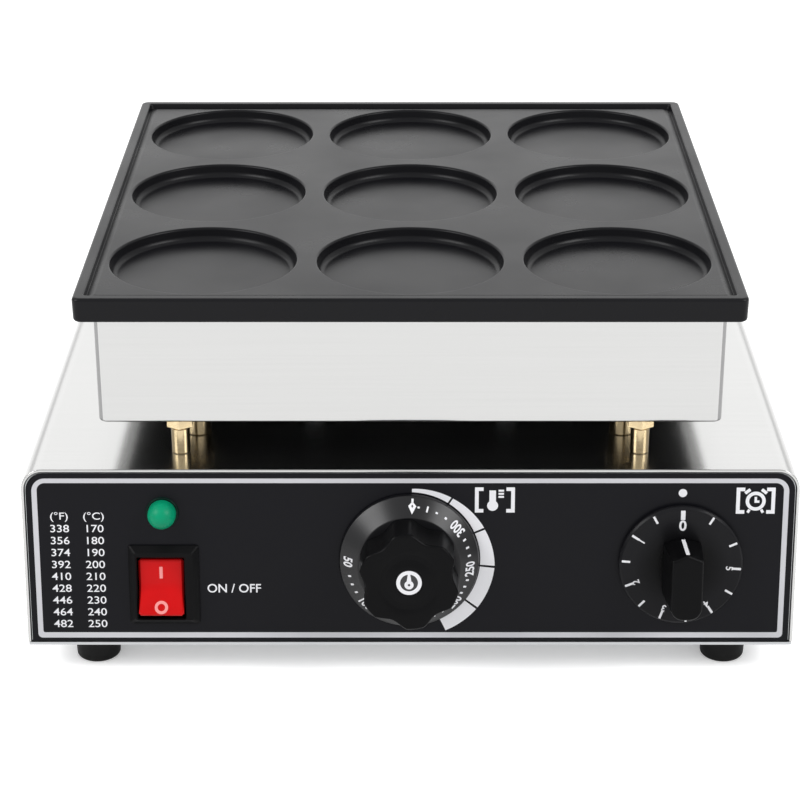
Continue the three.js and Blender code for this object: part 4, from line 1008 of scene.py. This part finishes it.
def temperature_badge():
    """A disc with a plain printed sign: a wide ring, and in it a small ring with a stem."""
    place = joint_place("temperature_knob_turn")
    top, back, edge_radius, face_radius = KNOB_FACE - 0.2, KNOB_FACE - 1.2, 5.2, 5.0
    disc_solid = Solid()
    profile = [(0, top), (face_radius, top), (edge_radius, top - 0.2), (edge_radius, back), (0, back)]
    disc_solid.turned(profile, 64)
    piece("temperature_disc", disc_solid, badge_metal, place, body="temperature_knob",
          replaces=["temperature_badge"], sharp=30)
    marks = Solid()
    level = Matrix.Translation((0, 0, top))
    annulus(marks, 0, 0, face_radius, 3.5, place=level)
    annulus(marks, 0, -0.9, 1.8, 0.5, place=level)
    stem = [Vector(point) for point in ((-0.9, 0.75), (0.9, 0.75), (0.4, 4.0), (-0.4, 4.0))]
    marks.prism(stem, 0, PRINT * 0.8, place=level)
    piece("temperature_ring", marks, white_print, place, body="temperature_knob", sharp=30)


# Timer knob
def timer_dial():
    place = joint_place("timer_knob_turn")
    radius, top = 24.9, TIMER_SKIRT_TOP
    profile = rounded_path([
        (6.0, top, 0),
        (radius - 1.0, top, 0.9),
        (radius, top - 1.0, 0.7),
        (radius, 0.8, 0.2),
        (18.0, 0.8, 0),
        (18.0, 2.2, 0),
        (6.0, 2.2, 0),
    ], 4, closed=False)
    solid = Solid()
    solid.skin([at_height(circle(reach, KNOB_ROUND), height) for reach, height in profile], around=True)
    # Painted shade: the dial darkens towards the hub, round the foot of the bar.
    dark, light = (0.001, 0.001, 0.001), (0.011, 0.011, 0.0125)
    shade_towards(timer_plastic, place @ Vector((0, 0, top)), 8, 19, dark, light)
    piece("timer_skirt", solid, timer_plastic, place, body="timer_knob",
          replaces=["timer_dial"], sharp=30)


def timer_marks():
    """Ticks anticlockwise from the top, with digits 0 to 5 at every second one."""
    place = joint_place("timer_knob_turn")
    solid = Solid()
    level = Matrix.Translation((0, 0, TIMER_SKIRT_TOP))
    turns = (0, 29, 57, 85, 111, 136, 160, 186, 213, 240, 267, 294, 329)
    last = len(turns) - 1
    for i, turn in enumerate(turns):
        about = level @ Matrix.Rotation(math.radians(turn), 4, "Z")
        if i == 0:
            bar(solid, 0, 21.6, 1.8, 3.9, place=about)
            text_into(solid, "0", 6.0, about @ Matrix.Translation((0, 17.0, 0)), 0.16)
        elif i % 2 or i == last:
            bar(solid, 0, 22.3, 0.9, 3.4, place=about)
        else:
            bar(solid, 0, 22.2, 0.95, 3.4, place=about)
            text_into(solid, str(i // 2), 3.9, about @ Matrix.Translation((0, 19.1, 0)), 0.08)
    piece("timer_marks", solid, white_print, place, body="timer_knob", sharp=30)


def timer_bar(inset, share):
    """The bar's plan at a share of its height, with a rounded tail and a blunt point at the nose."""
    foot_half, face_half = 7.5, 6.2
    half = foot_half + (face_half - foot_half) * share - inset
    tail, nose, point = 15.0 - inset, TIMER_NOSE - inset, 2.4
    tail_corner = max(0.2, 5.0 - inset)
    return rounded_path([
        (half, -tail, tail_corner),
        (half, nose - point, 0.5),
        (0, nose, 0.5),
        (-half, nose - point, 0.5),
        (-half, -tail, tail_corner),
    ], 6)


def timer_grip():
    place = joint_place("timer_knob_turn")
    foot, out, ease = 3.9, 25.0, 1.1
    solid = Solid()
    rings = [at_height(timer_bar(0.3, 0), foot), at_height(timer_bar(0, 0), foot + 0.4)]
    for step in range(1, 5):
        share = step / 4
        rings.append(at_height(timer_bar(0, share), foot + 0.4 + (out - ease - foot - 0.4) * share))
    for step in range(1, 6):
        angle = math.pi / 2 * step / 5
        inset = ease * (1 - math.cos(angle))
        rings.append(at_height(timer_bar(inset, 1), out - ease * (1 - math.sin(angle))))
    indexed = solid.skin(rings)
    solid.cap(indexed[0], False)
    solid.cap(indexed[-1], True)
    piece("timer_handle", solid, plastic, place, body="timer_knob",
          replaces=["timer_grip"], sharp=28)
    marks = Solid()
    middle_up = (foot + out) / 2 + 0.6
    upright = Matrix.Rotation(-math.pi / 2, 4, "X")
    ridge = Matrix.Translation((0, TIMER_NOSE - PRINT, middle_up)) @ upright
    bar(marks, 0, 0, 1.5, out - foot - 4.0, place=ridge)
    piece("timer_pointer", marks, white_print, place, body="timer_knob", sharp=30)


# Stage
def seen_rays(nodes, links):
    """1 for a ray that shows the surroundings, to the camera or in metal or glass, and 0 for light."""
    path = nodes.new("ShaderNodeLightPath")
    shown = path.outputs["Is Camera Ray"]
    for kind in ("Is Glossy Ray", "Is Transmission Ray"):
        either = nodes.new("ShaderNodeMath")
        either.operation = "MAXIMUM"
        links.new(shown, either.inputs[0])
        links.new(path.outputs[kind], either.inputs[1])
        shown = either.outputs[0]
    return shown


def backdrop():
    """A pale floor that shows white to the camera, with a soft shadow close to the object, part of it painted by a
    glow that fades with ambient occlusion.
    """
    floor = bpy.data.meshes.new("floor")
    reach = 6.0
    floor.from_pydata([(-reach, -reach, 0), (reach, -reach, 0), (reach, reach, 0), (-reach, reach, 0)],
                      [], [(0, 1, 2, 3)])
    material = bpy.data.materials.new("floor")
    material.use_nodes = True
    nodes, links = material.node_tree.nodes, material.node_tree.links
    nodes.clear()
    diffuse = nodes.new("ShaderNodeBsdfDiffuse")
    diffuse.inputs["Color"].default_value = (0.80, 0.80, 0.80, 1)
    glow = nodes.new("ShaderNodeEmission")
    # The glow fades with ambient occlusion near the object: a painted shadow.
    cover = nodes.new("ShaderNodeAmbientOcclusion")
    cover.inputs["Distance"].default_value = 0.07
    cover.samples = 16
    lift = nodes.new("ShaderNodeMapRange")
    lift.inputs["From Max"].default_value = 0.42
    lift.inputs["To Min"].default_value = 0.24
    lift.inputs["To Max"].default_value = 0.62
    links.new(cover.outputs["AO"], lift.inputs["Value"])
    strength = nodes.new("ShaderNodeMath")
    strength.operation = "MULTIPLY"
    links.new(seen_rays(nodes, links), strength.inputs[0])
    links.new(lift.outputs["Result"], strength.inputs[1])
    links.new(strength.outputs[0], glow.inputs["Strength"])
    both = nodes.new("ShaderNodeAddShader")
    output = nodes.new("ShaderNodeOutputMaterial")
    links.new(diffuse.outputs[0], both.inputs[0])
    links.new(glow.outputs[0], both.inputs[1])
    links.new(both.outputs[0], output.inputs["Surface"])
    floor.materials.append(material)
    shown = bpy.data.objects.new("floor", floor)
    bpy.context.scene.collection.objects.link(shown)


def daylight():
    world = bpy.data.worlds.new("studio")
    bpy.context.scene.world = world
    world.use_nodes = True
    nodes, links = world.node_tree.nodes, world.node_tree.links
    background = nodes["Background"]
    background.inputs["Color"].default_value = (1, 1, 1, 1)
    strength = nodes.new("ShaderNodeMapRange")
    strength.inputs["To Min"].default_value = 0.5
    strength.inputs["To Max"].default_value = 1.0
    links.new(seen_rays(nodes, links), strength.inputs["Value"])
    links.new(strength.outputs["Result"], background.inputs["Strength"])


def softbox(name, place, aim, width, height, power):
    light = bpy.data.lights.new(name, "AREA")
    light.shape = "RECTANGLE"
    light.size, light.size_y = width, height
    light.energy = power
    holder = bpy.data.objects.new(name, light)
    holder.location = place
    direction = Vector(aim) - Vector(place)
    holder.rotation_mode = "QUATERNION"
    holder.rotation_quaternion = direction.to_track_quat("-Z", "Y")
    bpy.context.scene.collection.objects.link(holder)


def lights():
    """A broad light behind the object and a small one above each side of the front."""
    softbox("rear_light", (0, 2.6, 1.35), (0, 0, 0.1), 3.4, 1.8, 12)
    for side, label in ((-1, "left"), (1, "right")):
        softbox(f"{label}_top_light", (side * 1.05, -0.62, 1.0), (0, -0.1, 0.05), 0.7, 0.7, 11)


# Camera at the photograph's place, worked out from the object's edges in the photograph. It stands
# in front of the middle of the deck and above it, and the object's own axis is at AXIS_COLUMN.
PHOTO_SIDE = 800
FOCAL_PIXELS = 2304.82
SENSOR = 36.0
AXIS_COLUMN = 410.3
CAMERA_PITCH = math.radians(24.15)
CAMERA_FROM_DECK = Vector((0, -949.76, 326.84))


def camera():
    data = bpy.data.cameras.new("camera")
    data.sensor_width = SENSOR
    data.lens = FOCAL_PIXELS / PHOTO_SIDE * SENSOR
    data.shift_x = (PHOTO_SIDE / 2 - AXIS_COLUMN) / PHOTO_SIDE
    data.clip_start = 0.05
    data.clip_end = 20
    holder = bpy.data.objects.new("camera", data)
    bpy.context.scene.collection.objects.link(holder)
    forward = Vector((0, math.cos(CAMERA_PITCH), -math.sin(CAMERA_PITCH)))
    right = Vector((1, 0, 0))
    deck = middle("baking_plate")
    deck.z = box("baking_plate")[1].z - DECK_BELOW_RIM
    place = (deck + CAMERA_FROM_DECK) * MM
    columns = Matrix((right, right.cross(forward), -forward)).transposed()
    holder.matrix_world = Matrix.Translation(place) @ columns.to_4x4()
    bpy.context.scene.camera = holder


camera()
backdrop()
daylight()
lights()
dress_cad_nodes()
baking_plate()
heater_box()
base_shell()
for name in frame["nodes"]:
    if name.startswith("standoff"):
        post(name, **STANDOFF)
    if name.startswith("wire_tube"):
        post(name, **WIRE_TUBE)
    if name.startswith("foot_") and not name.startswith("foot_screw"):
        foot(name)
control_film()
panel_line()
panel_print()
switch_bezel()
switch_rocker()
indicator_lamp()
temperature_dial()
temperature_marks()
temperature_grip()
temperature_badge()
timer_dial()
timer_marks()
timer_grip()

bpy.context.scene.view_settings.view_transform = "Standard"
